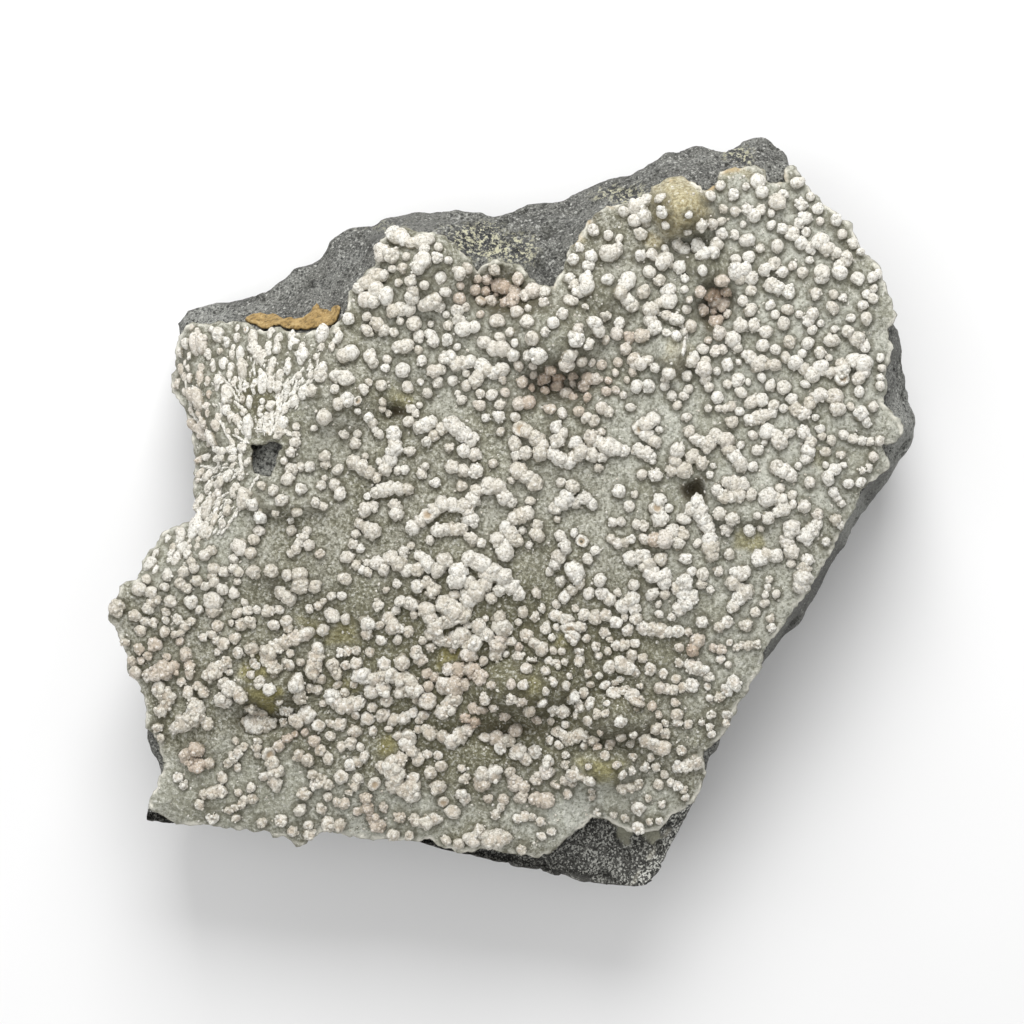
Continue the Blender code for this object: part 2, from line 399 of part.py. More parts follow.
    ((29.9, 20.2),), ((35.8, 22.1),), ((35.3, 20.5),), ((36.7, 19.4),),
    ((24.2, 22.8), (24.7, 21.5)), ((24.2, 26.6), (24, 25.5)), ((23.2, 26.7),), ((25.5, 25.2),),
    ((22, 26.7),), ((24.9, 28.2),), ((28.4, 18.8), (29.4, 18), (31.3, 17.9)), ((32.6, 18.8),),
    ((20.8, 18.4), (21.6, 18.5)), ((23, 18.4), (22.8, 17.4)),
    ((33.7, 18.2), (34.8, 17.4), (35.8, 16.7)), ((36.8, 17.6),), ((38, 17),),
    ((39.3, 17.9), (39.3, 16.2)), ((40.8, 18.4), (41.9, 18), (42, 17), (41.3, 16.2)),
    ((23, 16.2), (23.4, 15.2)), ((30.8, 15.4),), ((32.4, 15.2),), ((-38, 20.2), (-37.2, 20.2)),
    ((-35.2, 21.3),), ((-38.7, 19),), ((-31, 20.8), (-31.1, 20)), ((-28.1, 20.8), (-28.2, 19.8)),
    ((-26.5, 21.2), (-26.4, 20.3)), ((-25.3, 19.9), (-25.2, 18.8)), ((-29.3, 19.8),),
    ((-30.6, 19.2), (-30, 18.7)), ((-22.8, 21.4),), ((-20.4, 18.9), (-19.5, 19.3)),
    ((-21.2, 16.3), (-20.2, 16)), ((-23, 16.4), (-22.8, 17.3)),
)

# Places where few balls grow: middle, half-width, half-height, share of balls kept
SPARSE = (
    (38.0, 18.5, 3.2, 3.6, 0.15),
    (1.8, -8.5, 3.6, 4.2, 0.15),
    (-2.2, 0.8, 2.8, 2.2, 0.2),
    (-14.5, -15.5, 3.2, 1.4, 0.2),
    (-9.8, -16.2, 4.2, 1.6, 0.2),
    (-35.0, -33.5, 7.0, 3.2, 0.4),
    (-34.5, -29.5, 3.6, 1.8, 0.3),
    (20.3, 37.0, 3.6, 3.6, 0.12),
    (22.5, 29.8, 2.0, 2.2, 0.15),
    (5.2, 21.4, 2.6, 2.2, 0.3),
    (18.9, 19.3, 1.6, 2.4, 0.1),
    (10.4, 26.6, 2.4, 2.2, 0.2),
    (-30.7, 14.0, 1.6, 2.2, 0.0),
    (21.8, 2.8, 1.7, 1.7, 0.0),
    (-14.2, 12.2, 1.5, 1.5, 0.0),
    (10.5, 2.5, 2.4, 2.4, 0.4),
    (27.6, -5.8, 2.4, 2.2, 0.4),
    (16.6, -15.2, 3.0, 1.2, 0.1),
    (-30.8, -18.8, 2.2, 1.6, 0.2),
    (-30.6, -22.6, 2.6, 1.2, 0.1),
    (6.8, -36.2, 2.6, 2.2, 0.3),
    (-12.4, -36.2, 2.2, 1.6, 0.3),
    (6.0, -20.5, 1.8, 2.4, 0.4),
    (-4.5, -28.5, 2.2, 2.6, 0.3),
)


def linear(red, green, blue):
    """A colour as it is seen, in 0 to 255, as the shader's linear value."""
    return tuple((c / 255.0) ** 2.2 for c in (red, green, blue)) + (1.0,)


def make_material(name, colour, roughness):
    """Plain Principled material."""
    material = bpy.data.materials.new(name)
    material.use_nodes = True
    shader = material.node_tree.nodes["Principled BSDF"]
    shader.inputs["Base Color"].default_value = colour
    shader.inputs["Roughness"].default_value = roughness
    shader.inputs["Metallic"].default_value = 0.0
    return material


def path_distance(points, path, closed):
    """Distance of each point from a path of straight runs."""
    best = np.full(len(points), np.inf)
    ends = path[1:] + path[:1] if closed else path[1:]
    for (ax, ay), (bx, by) in zip(path, ends):
        run = np.array((bx - ax, by - ay))
        offset = points - (ax, ay)
        along = np.clip(offset @ run / (run @ run), 0.0, 1.0)
        best = np.minimum(best, np.hypot(*(offset - along[:, None] * run).T))
    return best


def inside(points, outline):
    """Whether each point lies inside a closed outline."""
    x, y = points.T
    result = np.zeros(len(points), dtype=bool)
    for (ax, ay), (bx, by) in zip(outline, outline[1:] + outline[:1]):
        if ay == by:
            continue
        crosses = (ay > y) != (by > y)
        result ^= crosses & (x < ax + (y - ay) * (bx - ax) / (by - ay))
    return result


def on_crust(points):
    """Whether each point lies on the crust, away from its bare spot."""
    return inside(points, CRUST_OUTLINE) & ~inside(points, CRUST_HOLE)


def left_of(points, path):
    """Distance of each point to the left of a path that runs downwards, below 0 to its right."""
    down = sorted(path, key=lambda place: place[1])
    edge = np.interp(points[:, 1], [y for x, y in down], [x for x, y in down])
    return np.where(points[:, 0] < edge, 1.0, -1.0) * path_distance(points, path, False)


def wave(points, size, octaves, seed):
    """Smooth seeded noise between about -1 and 1, its waves about this size."""
    return np.array([noise.fractal((x / size, y / size, seed), 0.9, 2.0, octaves)
                     for x, y in points])


def broad_height(points):
    """The face's large form: a flat top, the falling left flank and the leaning foot."""
    flank = np.maximum(left_of(points, RIDGE), 0.0)
    fall = FLANK_SLOPE * (np.hypot(flank, FLANK_ROUNDING) - FLANK_ROUNDING)
    foot = FOOT_SLOPE * np.maximum(FOOT_Y - points[:, 1], 0.0)
    return FACE_Z - fall - foot


def relief(points):
    """The face's ledge, lumps, hollows and waves."""
    step = np.clip(0.5 + left_of(points, LEDGE) / LEDGE_WIDTH, 0.0, 1.0)
    height = -LEDGE_DROP * step * step * (3.0 - 2.0 * step)
    for x, y, half_width, up, down, lump in LUMPS:
        dx = (points[:, 0] - x) / half_width
        dy = points[:, 1] - y
        dy = dy / np.where(dy > 0.0, up, down)
        height += lump * np.maximum(1.0 - dx * dx - dy * dy, 0.0) ** 1.1
    return height + RELIEF * wave(points, RELIEF_WAVE, 2, 3.7)


def face_height(points):
    """Height of the crust's upper surface, its edge rolled down a little."""
    edge = path_distance(points, CRUST_OUTLINE, True)
    return broad_height(points) + relief(points) - EDGE_ROLL * np.exp(-edge / EDGE_ROLL_WIDTH)


def core_height(points):
    """Height of the basalt under the crust: below every hollow of the face, equal at its edge."""
    reach = np.minimum(path_distance(points, CRUST_OUTLINE, True), CORE_REACH)
    low = relief(points)
    for step in range(CORE_BEARINGS):
        angle = step * math.tau / CORE_BEARINGS
        ring = np.column_stack((np.cos(angle) * reach, np.sin(angle) * reach))
        low = np.minimum(low, relief(points + ring))
    edge = path_distance(points, CRUST_OUTLINE, True)
    roll = EDGE_ROLL * np.exp(-edge / EDGE_ROLL_WIDTH)
    return broad_height(points) + low - roll - CRUST_THICKNESS - GAP


def bare_height(points):
    """Height of the basalt outside the crust: it breaks away from the crust's edge to the rim."""
    from_crust = path_distance(points, CRUST_OUTLINE, True)
    from_rim = path_distance(points, BASALT_OUTLINE, True)
    share = (from_crust / np.maximum(from_crust + from_rim, 0.001)) ** RIM_BEND
    bearing = np.degrees(np.arctan2(points[:, 1], points[:, 0]))
    rim = np.interp(bearing, [b for b, z in RIM_HEIGHTS], [z for b, z in RIM_HEIGHTS])
    rough = BASALT_ROUGHNESS * wave(points, BASALT_WAVE, 2, 8.2)
    rough *= np.minimum(from_crust / ROUGH_FROM, 1.0)
    return core_height(points) * (1.0 - share) + rim * share + rough


def lift(points, heights):
    """Places seen at the height of the face, moved to where they are at their own height."""
    size = 1.0 + (FACE_Z - heights) / VIEW_DISTANCE
    x = points[:, 0] * size - ORIGIN_X
    y = points[:, 1] * size - ORIGIN_Y
    return np.column_stack((x, y, heights))


def loop_edges(start, count):
    """Index pairs around a closed outline whose points stand in a row."""
    return [(start + i, start + (i + 1) % count) for i in range(count)]


def triangulate(points, edges):
    """Triangles over the points that keep the given edges, each counter-clockwise."""
    vectors = [Vector((float(x), float(y))) for x, y in points]
    result = delaunay_2d_cdt(vectors, edges, [], 0, 1e-5)
    places = np.array([tuple(v) for v in result[0]])
    triangles = []
    for a, b, c in result[2]:
        (ax, ay), (bx, by), (cx, cy) = places[a], places[b], places[c]
        turn = (bx - ax) * (cy - ay) - (by - ay) * (cx - ax)
        triangles.append((a, b, c) if turn > 0.0 else (a, c, b))
    return places, np.array(triangles)


def scattered(spacing, seed):
    """Points of a loosened triangular grid over the whole slab."""
    rng = random.Random(seed)
    points = []
    row_height = spacing * math.sqrt(0.75)
    stray = GRID_LOOSENESS * spacing
    for row in range(int(GRID_LENGTH / row_height)):
        for column in range(int(GRID_WIDTH / spacing)):
            x = GRID_LEFT + (column + 0.5 * (row % 2)) * spacing + rng.uniform(-stray, stray)
            y = GRID_FOOT + row * row_height + rng.uniform(-stray, stray)
            points.append((x, y))
    return np.array(points)


def clear_of(points, outlines, distance):
    """Which points keep this distance from every outline."""
    keep = np.ones(len(points), dtype=bool)
    for outline in outlines:
        keep &= path_distance(points, outline, True) > distance
    return keep


def open_edges(triangles):
    """Directed edges that only one triangle uses."""
    edges = {(a, b) for t in triangles for a, b in ((t[0], t[1]), (t[1], t[2]), (t[2], t[0]))}
    return sorted(edge for edge in edges if (edge[1], edge[0]) not in edges)


def edge_loops(edges):
    """The closed loops that directed edges form."""
    following = dict(edges)
    loops = []
    while following:
        start = min(following)
        loop = [start]
        nearest = following.pop(start)
        while nearest != start:
            loop.append(nearest)
            nearest = following.pop(nearest)
        loops.append(loop)
    return loops


def make_object(name, points, faces, material):
    """A mesh object from points in millimetres."""
    used = sorted({i for face in faces for i in face})
    place = {old: new for new, old in enumerate(used)}
    mesh = bpy.data.meshes.new(name)
    mesh.from_pydata([tuple(float(c) * MM for c in points[i]) for i in used], [],
                     [tuple(place[i] for i in face) for face in faces])
    mesh.materials.append(material)
    obj = bpy.data.objects.new(name, mesh)
    bpy.context.collection.objects.link(obj)
    return obj


def shared_plan():
    """The triangles that the basalt's top and the pieces lying on it have in common."""
    outlines = (CRUST_OUTLINE, CRUST_HOLE, BASALT_OUTLINE, CLAY_OUTLINE)
    points = []
    edges = []
    for outline in outlines:
        edges += loop_edges(len(points), len(outline))
        points += outline
    core = scattered(CORE_SPACING, 1)
    core = core[on_crust(core) & clear_of(core, outlines, CORE_CLEAR)]
    bare = scattered(BASALT_SPACING, 2)
    bare = bare[inside(bare, BASALT_OUTLINE) & ~inside(bare, CRUST_OUTLINE)]
    bare = bare[clear_of(bare, outlines, BASALT_CLEAR)]
    return triangulate(np.vstack((points, core, bare)), edges)


def ground_height(points):
    """Height of the basalt's top, under the crust and where it is bare."""
    edge = np.minimum(path_distance(points, CRUST_OUTLINE, True),
                      path_distance(points, CRUST_HOLE, True))
    covered = inside(points, CRUST_OUTLINE) | (edge < 0.01)
    return np.where(covered, core_height(points), bare_height(points))


def make_basalt(plan, triangles, material):
    """The slab: the shared top, a broken wall all round and a flat underside."""
    centres = plan[triangles].mean(axis=1)
    top = triangles[inside(centres, BASALT_OUTLINE)]
    points = [tuple(p) for p in lift(plan, ground_height(plan))]
    faces = [tuple(t) for t in top]
    rim = open_edges(top)
    ring = {a: a for a, b in rim}
    for level, (height_share, size, roughness) in enumerate(WALL_LEVELS):
        lower = {}
        for start in ring:
            x, y, z = points[start]
            swell = noise.fractal((x / WALL_WAVE, y / WALL_WAVE, level * 0.8), 0.9, 2.0, 2)
            scale = size * (1.0 + roughness * swell)
            lower[start] = len(points)
            points.append((x * scale, y * scale, z * height_share))
        for a, b in rim:
            faces += [(ring[b], ring[a], lower[a]), (ring[b], lower[a], lower[b])]
        ring = lower
    (loop,) = edge_loops(rim)
    floor = [ring[a] for a in loop]
    flat = np.array([points[i][:2] for i in floor])
    places, inner = triangulate(flat, loop_edges(0, len(flat)))
    outline = tuple(tuple(p) for p in flat)
    inner = inner[inside(places[inner].mean(axis=1), outline)]
    faces += [(floor[a], floor[c], floor[b]) for a, b, c in inner]
    return make_object("basalt_matrix", points, faces, material)


def chain_places(path):
    """Places of the balls along one chain, a little less than a ball apart."""
    places = [path[0]]
    for (ax, ay), (bx, by) in zip(path, path[1:]):
        length = math.hypot(bx - ax, by - ay)
        count = max(1, round(length / BALL_STEP))
        places += [(ax + (bx - ax) * i / count, ay + (by - ay) * i / count)
                   for i in range(1, count + 1)]
    return places


def kept_share(x, y):
    """Share of the balls that grow at a place."""
    share = 1.0
    for cx, cy, half_width, half_height, kept in SPARSE:
        if ((x - cx) / half_width) ** 2 + ((y - cy) / half_height) ** 2 < 1.0:
            share = min(share, kept)
    return share


class BallField:
    """Balls that have grown so far, sorted into cells so that neighbours are quickly found."""

    CELL = 2.6

    def __init__(self):
        self.balls = []
        self.cells = {}

    def near(self, x, y):
        column, row = int(x // self.CELL), int(y // self.CELL)
        for i in range(column - 1, column + 2):
            for j in range(row - 1, row + 2):
                yield from self.cells.get((i, j), ())

    def crowded(self, x, y, z, radius, group):
        """Whether a ball here would come too close to those that have grown."""
        for ox, oy, oz, size, other in self.near(x, y):
            least = (GROUP_SPACE if other == group else BALL_SPACE) * (radius + size)
            if (x - ox) ** 2 + (y - oy) ** 2 + (z - oz) ** 2 < least * least:
                return True
        return False

    def add(self, x, y, z, radius, group):
        ball = (x, y, z, radius, group)
        self.balls.append(ball)
        self.cells.setdefault((int(x // self.CELL), int(y // self.CELL)), []).append(ball)


def wandering_groups(rng):
    """Seeded groups of one to five balls in a row, each ball as (x, y, radius)."""
    low, high = BALL_RADIUS
    groups = []
    for attempt in range(BALL_ATTEMPTS):
        x = rng.uniform(*GROWING_X)
        y = rng.uniform(*GROWING_Y)
        radius = low + (high - low) * rng.random() ** 1.2
        bearing = rng.uniform(0.0, math.tau)
        wanted = rng.random() < kept_share(x, y)
        group = []
        for link in range(rng.choice(GROUP_SIZES)):
            group.append((x, y, radius))
            bearing += rng.uniform(-GROUP_TURN, GROUP_TURN)
            step = radius * rng.uniform(*GROUP_STEP)
            x += math.cos(bearing) * step
            y += math.sin(bearing) * step
            radius = min(high, max(low, radius * rng.uniform(*GROUP_GROWTH)))
        if wanted:
            groups.append(group)
    return groups


def flank_groups(rng):
    """Seeded short rows of small balls that run up and down the left flank."""
    groups = []
    for attempt in range(FLANK_ATTEMPTS):
        x = rng.uniform(*FLANK_X)
        y = rng.uniform(*FLANK_Y)
        radius = rng.uniform(*FLANK_RADIUS)
        lean = rng.uniform(*FLANK_LEAN)
        count = rng.choice(FLANK_SIZES)
        groups.append([(x + lean * radius * link, y + FLANK_STEP * radius * link, radius)
                       for link in range(count)])
    starts = np.array([group[0][:2] for group in groups])
    return [group for group, left in zip(groups, left_of(starts, RIDGE)) if left > 0.0]


def grow_balls():
    """All the balls of the face as (x, y, z, radius, group): the chains, then seeded fills."""
    rng = random.Random(BALL_SEED)
    chains = [[(x, y, rng.uniform(*CHAIN_RADIUS)) for x, y in chain_places(path)]
              for path in CHAINS]
    groups = chains + wandering_groups(rng)
    flank = len(groups)
    groups += flank_groups(rng)
    spots = np.array([(x, y) for group in groups for x, y, radius in group])
    heights = face_height(spots)
    clear = on_crust(spots) & clear_of(spots, (CRUST_OUTLINE, CRUST_HOLE), BALL_EDGE_SPACE)
    field = BallField()
    index = 0
    for number, group in enumerate(groups):
        growing = len(field.balls) < (BALL_COUNT if number < flank else BALL_COUNT + FLANK_COUNT)
        for x, y, radius in group:
            z = float(heights[index])
            growing = growing and clear[index]
            index += 1
            if number >= len(chains):
                growing = growing and not field.crowded(x, y, z, radius, number)
            if growing:
                field.add(x, y, z, radius, number)
    return field.balls


def knob_of(balls):
    """Balls in a row as one knob: its core's two ends and its radius."""
    radius = sum(ball[3] for ball in balls) / len(balls)
    return balls[0][:2], balls[-1][:2], radius


def knobs_of(balls):
    """Every ball, fused with up to two that follow it in a nearly straight row."""
    knobs = []
    while balls:
        row = balls[:1]
        for ball in balls[1:3]:
            if ball[4] != row[0][4]:
                break
            if len(row) == 2:
                first = Vector(row[1][:2]) - Vector(row[0][:2])
                second = Vector(ball[:2]) - Vector(row[1][:2])
                if first.normalized() @ second.normalized() < STRAIGHT:
                    break
            row.append(ball)
        knobs.append(knob_of(row))
        balls = balls[len(row):]
    return knobs


def core_points(knob):
    """The ends and the middle of a knob's core."""
    (ax, ay), (bx, by), radius = knob
    return np.array(((ax, ay), (0.5 * (ax + bx), 0.5 * (ay + by)), (bx, by)))


def chosen_knobs(balls):
    """The largest knobs that stand clear of each other and of the crust's edges."""
    knobs = knobs_of(balls)
    cores = np.array([core_points(knob) for knob in knobs])
    ends = cores.reshape(-1, 2)
    edge = np.minimum(path_distance(ends, CRUST_OUTLINE, True),
                      path_distance(ends, CRUST_HOLE, True)).reshape(-1, 3).min(axis=1)
    lengths = np.hypot(*(cores[:, 2] - cores[:, 0]).T)
    order = sorted(range(len(knobs)), key=lambda i: -(lengths[i] + knobs[i][2]) * knobs[i][2])
    chosen = []
    room = {True: LONG_KNOBS, False: ROUND_KNOBS}
    for i in order:
        radius = knobs[i][2]
        is_long = bool(lengths[i] > 0.0)
        if room[is_long] == 0 or edge[i] < radius + BALL_EDGE_SPACE:
            continue
        if all(np.hypot(*(cores[i][:, None] - cores[j][None]).transpose(2, 0, 1)).min()
               > radius + knobs[j][2] + KNOB_SPACE for j in chosen):
            chosen.append(i)
            room[is_long] -= 1
    return [knobs[i] for i in chosen]


def knob_foot(knob, turn):
    """The foot of a knob: a ring around its core, long or round."""
    (ax, ay), (bx, by), radius = knob
    length = math.hypot(bx - ax, by - ay)
    sides = LONG_SIDES if length > 0.0 else ROUND_SIDES
    bearing = math.atan2(by - ay, bx - ax) if length > 0.0 else turn
    across = radius * KNOB_FOOT
    along = across + 0.5 * length
    ring = []
    for i in range(sides):
        u = along * math.cos(i * math.tau / sides)
        v = across * math.sin(i * math.tau / sides)
        ring.append((0.5 * (ax + bx) + u * math.cos(bearing) - v * math.sin(bearing),
                     0.5 * (ay + by) + u * math.sin(bearing) + v * math.cos(bearing)))
    return ring


def face_normals(spots):
    """Outward direction of the face at each place."""
    step = NORMAL_STEP
    east, west, north, south = (face_height(spots + shift) for shift in
                                ((step, 0.0), (-step, 0.0), (0.0, step), (0.0, -step)))
    normals = [Vector((float(w - e), float(s - n), 2.0 * step))
               for e, w, n, s in zip(east, west, north, south)]
    return [normal.normalized() for normal in normals]


def lump_points():
    """Points on each lump and hollow of the face, so that they come out round."""
    points = []
    for x, y, half_width, up, down, height in LUMPS:
        points.append((x, y))
        for i in range(LUMP_SIDES):
            u = LUMP_RING * math.cos(i * math.tau / LUMP_SIDES)
            v = LUMP_RING * math.sin(i * math.tau / LUMP_SIDES)
            points.append((x + u * half_width, y + v * (up if v > 0.0 else down)))
    return points


def fill_points(knobs):
    """The crust's own points between its knobs."""
    points = np.vstack((lump_points(), scattered(FILL_SPACING, 3)))
    outlines = (CRUST_OUTLINE, CRUST_HOLE)
    points = points[on_crust(points) & clear_of(points, outlines, FILL_EDGE_SPACE)]
    for knob in knobs:
        away = np.hypot(*(points[:, None] - core_points(knob)[None]).transpose(2, 0, 1))
        points = points[away.min(axis=1) > knob[2] + FILL_KNOB_SPACE]
    kept = []
    for x, y in points:
        if all(math.hypot(x - ox, y - oy) > FILL_LEAST for ox, oy in kept):
            kept.append((x, y))
    return kept


def make_crust(plan, triangles, material):
    """The crust with its largest balls fused into it, lying on the basalt."""
    centres = plan[triangles].mean(axis=1)
    under = triangles[on_crust(centres)]
    rim = open_edges(under)
    loops = edge_loops(rim)
    below = lift(plan, core_height(plan) + GAP)
    knobs = chosen_knobs(grow_balls())
    outlines = [[tuple(plan[i]) for i in loop] for loop in loops]
    feet = [knob_foot(knob, 2.4 * index) for index, knob in enumerate(knobs)]
    flat = []
    edges = []
    rings = []
    for outline in outlines + feet:
        edges += loop_edges(len(flat), len(outline))
        rings.append(list(range(len(flat), len(flat) + len(outline))))
        flat += outline
    places, over = triangulate(np.array(flat + fill_points(knobs)), edges)
    middles = places[over].mean(axis=1)
    keep = on_crust(middles)
    for foot in feet:
        keep &= ~inside(middles, tuple(foot))
    points = [tuple(p) for p in lift(places, face_height(places))]
    faces = [tuple(t) for t in over[keep]]
    normals = face_normals(np.array([core_points(knob)[1] for knob in knobs]))
    for knob, ring, normal in zip(knobs, rings[len(loops):], normals):
        add_knob(points, faces, ring, normal, knob)
    offset = len(points)
    points += [tuple(p) for p in below]
    faces += [(a + offset, c + offset, b + offset) for a, b, c in under]
    above = {old: new for new, old in enumerate(i for loop in loops for i in loop)}
    for a, b in rim:
        faces += [(above[b], above[a], a + offset), (above[b], a + offset, b + offset)]
    return make_object("mesolite_crust", points, faces, material)


def add_knob(points, faces, foot, normal, knob):
    """One knob over its foot: a wider ring, and a top that is a point or a short ridge."""
    (ax, ay), (bx, by), radius = knob
    feet = [Vector(points[i]) for i in foot]
    centre = sum(feet, Vector()) / len(feet)
    ring = list(range(len(points), len(points) + len(foot)))
    for place in feet:
        outward = (place - centre).normalized() * (radius * (1.0 - KNOB_FOOT))
        points.append(tuple(place + outward + normal * (KNOB_SWELL * radius)))
    half_core = Vector((bx - ax, by - ay, 0.0)) * 0.5
    half_core -= normal * half_core.dot(normal)
    ends = (half_core, -half_core) if half_core.length > 0.0 else (half_core,)
    tops = list(range(len(points), len(points) + len(ends)))
    points.extend(tuple(centre + end + normal * (KNOB_TOP * radius)) for end in ends)
    nearest = [min(tops, key=lambda top: (Vector(points[top]) - Vector(points[i])).length)
               for i in ring]
    for i, a in enumerate(ring):
        j = (i + 1) % len(ring)
        b = ring[j]
        faces += [(foot[i], foot[j], b), (foot[i], b, a), (a, b, nearest[j])]
        if nearest[i] != nearest[j]:
            faces.append((a, nearest[j], nearest[i]))


def make_clay(plan, triangles, material):
    """The ochre seam, a lumpy wedge on the basalt along the crust's edge."""
    centres = plan[triangles].mean(axis=1)
    base = triangles[inside(centres, CLAY_OUTLINE)]
    ground = ground_height(plan) + GAP
    thickness = CLAY_THICKNESS * (1.0 + CLAY_SWELL * wave(plan, CLAY_WAVE, 1, 5.1))
    points = [tuple(p) for p in lift(plan, ground)]
    offset = len(points)
    points += [tuple(p) for p in lift(plan, ground + thickness)]
    faces = [(a, c, b) for a, b, c in base]
    faces += [(a + offset, b + offset, c + offset) for a, b, c in base]
    for a, b in open_edges(base):
        faces += [(b + offset, a + offset, a), (b + offset, a, b)]
    return make_object("ochre_clay_seam", points, faces, material)


def main():
    for obj in list(bpy.data.objects):
        bpy.data.objects.remove(obj)
    basalt = make_material("basalt", linear(*BASALT_COLOUR), 0.88)
    mesolite = make_material("mesolite", linear(*MESOLITE_COLOUR), 0.8)
    clay = make_material("ochre_clay", linear(*CLAY_COLOUR), 0.95)
    plan, triangles = shared_plan()
    make_basalt(plan, triangles, basalt)
    make_crust(plan, triangles, mesolite)
    make_clay(plan, triangles, clay)


main()
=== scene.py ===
import math
import random

import bmesh
import bpy
import numpy as np
from mathutils import Matrix, Vector, noise
from mathutils.geometry import delaunay_2d_cdt
from mathutils.kdtree import KDTree


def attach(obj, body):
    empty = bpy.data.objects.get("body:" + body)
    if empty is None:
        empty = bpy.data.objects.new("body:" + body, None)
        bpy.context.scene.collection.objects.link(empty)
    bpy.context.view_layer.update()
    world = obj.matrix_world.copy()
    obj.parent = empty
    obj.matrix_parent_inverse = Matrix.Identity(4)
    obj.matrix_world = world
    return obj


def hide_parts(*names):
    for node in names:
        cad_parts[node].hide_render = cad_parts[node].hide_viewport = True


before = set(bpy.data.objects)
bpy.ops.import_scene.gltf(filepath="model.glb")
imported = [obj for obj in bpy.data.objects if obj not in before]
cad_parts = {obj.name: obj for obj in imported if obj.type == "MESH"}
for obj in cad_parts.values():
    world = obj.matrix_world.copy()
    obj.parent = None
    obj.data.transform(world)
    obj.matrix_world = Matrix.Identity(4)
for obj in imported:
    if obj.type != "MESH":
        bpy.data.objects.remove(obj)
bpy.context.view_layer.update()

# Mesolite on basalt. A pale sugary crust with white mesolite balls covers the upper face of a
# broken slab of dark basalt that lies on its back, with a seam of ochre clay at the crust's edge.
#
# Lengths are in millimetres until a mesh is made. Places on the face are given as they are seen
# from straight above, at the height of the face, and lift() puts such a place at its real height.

MM = 0.001

# Main sizes
FACE_Z = 26.5            # height of the flat part of the face
VIEW_DISTANCE = 290.0    # height above the face from which the outlines are seen
ORIGIN_X = 0.56          # where the middle of the slab is seen
ORIGIN_Y = 0.18
CRUST_THICKNESS = 1.5
GAP = 0.35               # clearance between two pieces that touch
CLAY_THICKNESS = 0.9
CLAY_SWELL = 0.35        # its lumps, as a share of the thickness
CLAY_WAVE = 1.7

# Shape of the face
FLANK_SLOPE = 0.92       # fall of the left flank, as a tangent
FLANK_ROUNDING = 3.2     # radius over which the ridge turns into the flank
LEDGE_DROP = 2.4
LEDGE_WIDTH = 1.6
FOOT_Y = -8.0            # below this the face leans away towards its lower edge
FOOT_SLOPE = 0.13
RELIEF = 0.75            # height of the face's gentle waves
RELIEF_WAVE = 9.0
EDGE_ROLL = 0.9          # how far the crust's edge bends down
EDGE_ROLL_WIDTH = 1.6
NORMAL_STEP = 0.4        # over which the face's direction is measured

# Balls
BALL_SEED = 52
BALL_RADIUS = (0.62, 1.05)
CHAIN_RADIUS = (0.75, 1.05)
BALL_STEP = 1.05         # between the balls of a chain
BALL_COUNT = 1290        # in chains and in seeded groups
BALL_ATTEMPTS = 16000
BALL_EDGE_SPACE = 0.45   # least space between a ball and the crust's edge
BALL_SPACE = 0.98        # least distance of two balls, as a share of their radii's sum
GROUP_SPACE = 0.5        # the same within one group
GROUP_SIZES = (1, 1, 1, 2, 2, 3, 3, 4, 5)
GROUP_TURN = 0.9         # largest bend from ball to ball, in radians
GROUP_STEP = (1.15, 1.5)  # from ball to ball, in ball radii
GROUP_GROWTH = (0.85, 1.15)
GROWING_X = (-49.0, 47.0)
GROWING_Y = (-41.0, 42.0)

# Small balls that crowd the left flank in short rows up and down it
FLANK_COUNT = 190
FLANK_ATTEMPTS = 2400
FLANK_RADIUS = (0.5, 0.72)
FLANK_SIZES = (1, 2, 2, 3, 4)
FLANK_STEP = 1.45        # from ball to ball, in ball radii
FLANK_LEAN = (-0.1, 0.5)  # sideways reach of that step
FLANK_X = (-44.0, -18.0)
FLANK_Y = (-7.0, 22.5)

# Basalt
CORE_REACH = 3.24        # a hollow of the face lowers the basalt this far around it
CORE_BEARINGS = 8
BASALT_ROUGHNESS = 0.55
BASALT_WAVE = 3.1
RIM_BEND = 1.15          # above 1 the bare basalt falls late towards the rim
ROUGH_FROM = 1.5         # distance to the crust at which it is fully rough
GRID_LEFT = -52.0        # the point grid reaches over the whole slab
GRID_FOOT = -50.0
GRID_WIDTH = 104.0
GRID_LENGTH = 100.0
GRID_LOOSENESS = 0.2     # how far its points stray, in spacings

# Camera and light
CAMERA_X = -0.18         # where the middle of the view is seen
CAMERA_Y = 0.24
VIEW_WIDTH = 122.88      # width of the view at the height of the face
SENSOR = 36.0

# Fine crust
CRUST_STEP = 0.325       # between the points of its face
UNDER_STEP = 2.5         # the same on its hidden underside
EDGE_STEP = 0.4          # the same along its broken edge
EDGE_JAG = 0.4           # how far that edge strays from its outline
EDGE_JAG_SIZE = 1.1
CRUST_SINK = 0.25        # how far the crust's broken edge goes into the basalt
GRAIN = 0.16             # height of its sugary grain
GRAIN_SIZE = 1.0
GRAIN_JITTER = 0.45      # how far single points stray, as a share of that height
BLISTERS = 260           # swellings where a ball has hardly begun to grow
BLISTER_RADIUS = (0.45, 1.0)
BLISTER_HEIGHT = (0.12, 0.38)
FOOT_RISE = 0.35         # how much the crust rises to a ball's foot
FOOT_WIDTH = 1.5         # how far the foot reaches, in ball radii
LAYER_WALL = ((0.15, 0.1), (0.45, 0.15), (0.8, 0.02))   # share of the way down, reach outwards
RAGGED = (0.8, 0.8, 2)   # share of that reach, wave and octaves of the wall's roughness
ZONE_WANDER = (1.6, 4.0, 3)   # height, wave and octaves by which the edges of stretches wander

# Fine clay
CLAY_STEP = 0.28
CLAY_UNDER_STEP = 1.0
CLAY_JAG = 0.35
CLAY_CRUMB = (0.25, 0.7, 3)   # share of the thickness, wave and octaves of its crumbs
CLAY_SINK = 0.3

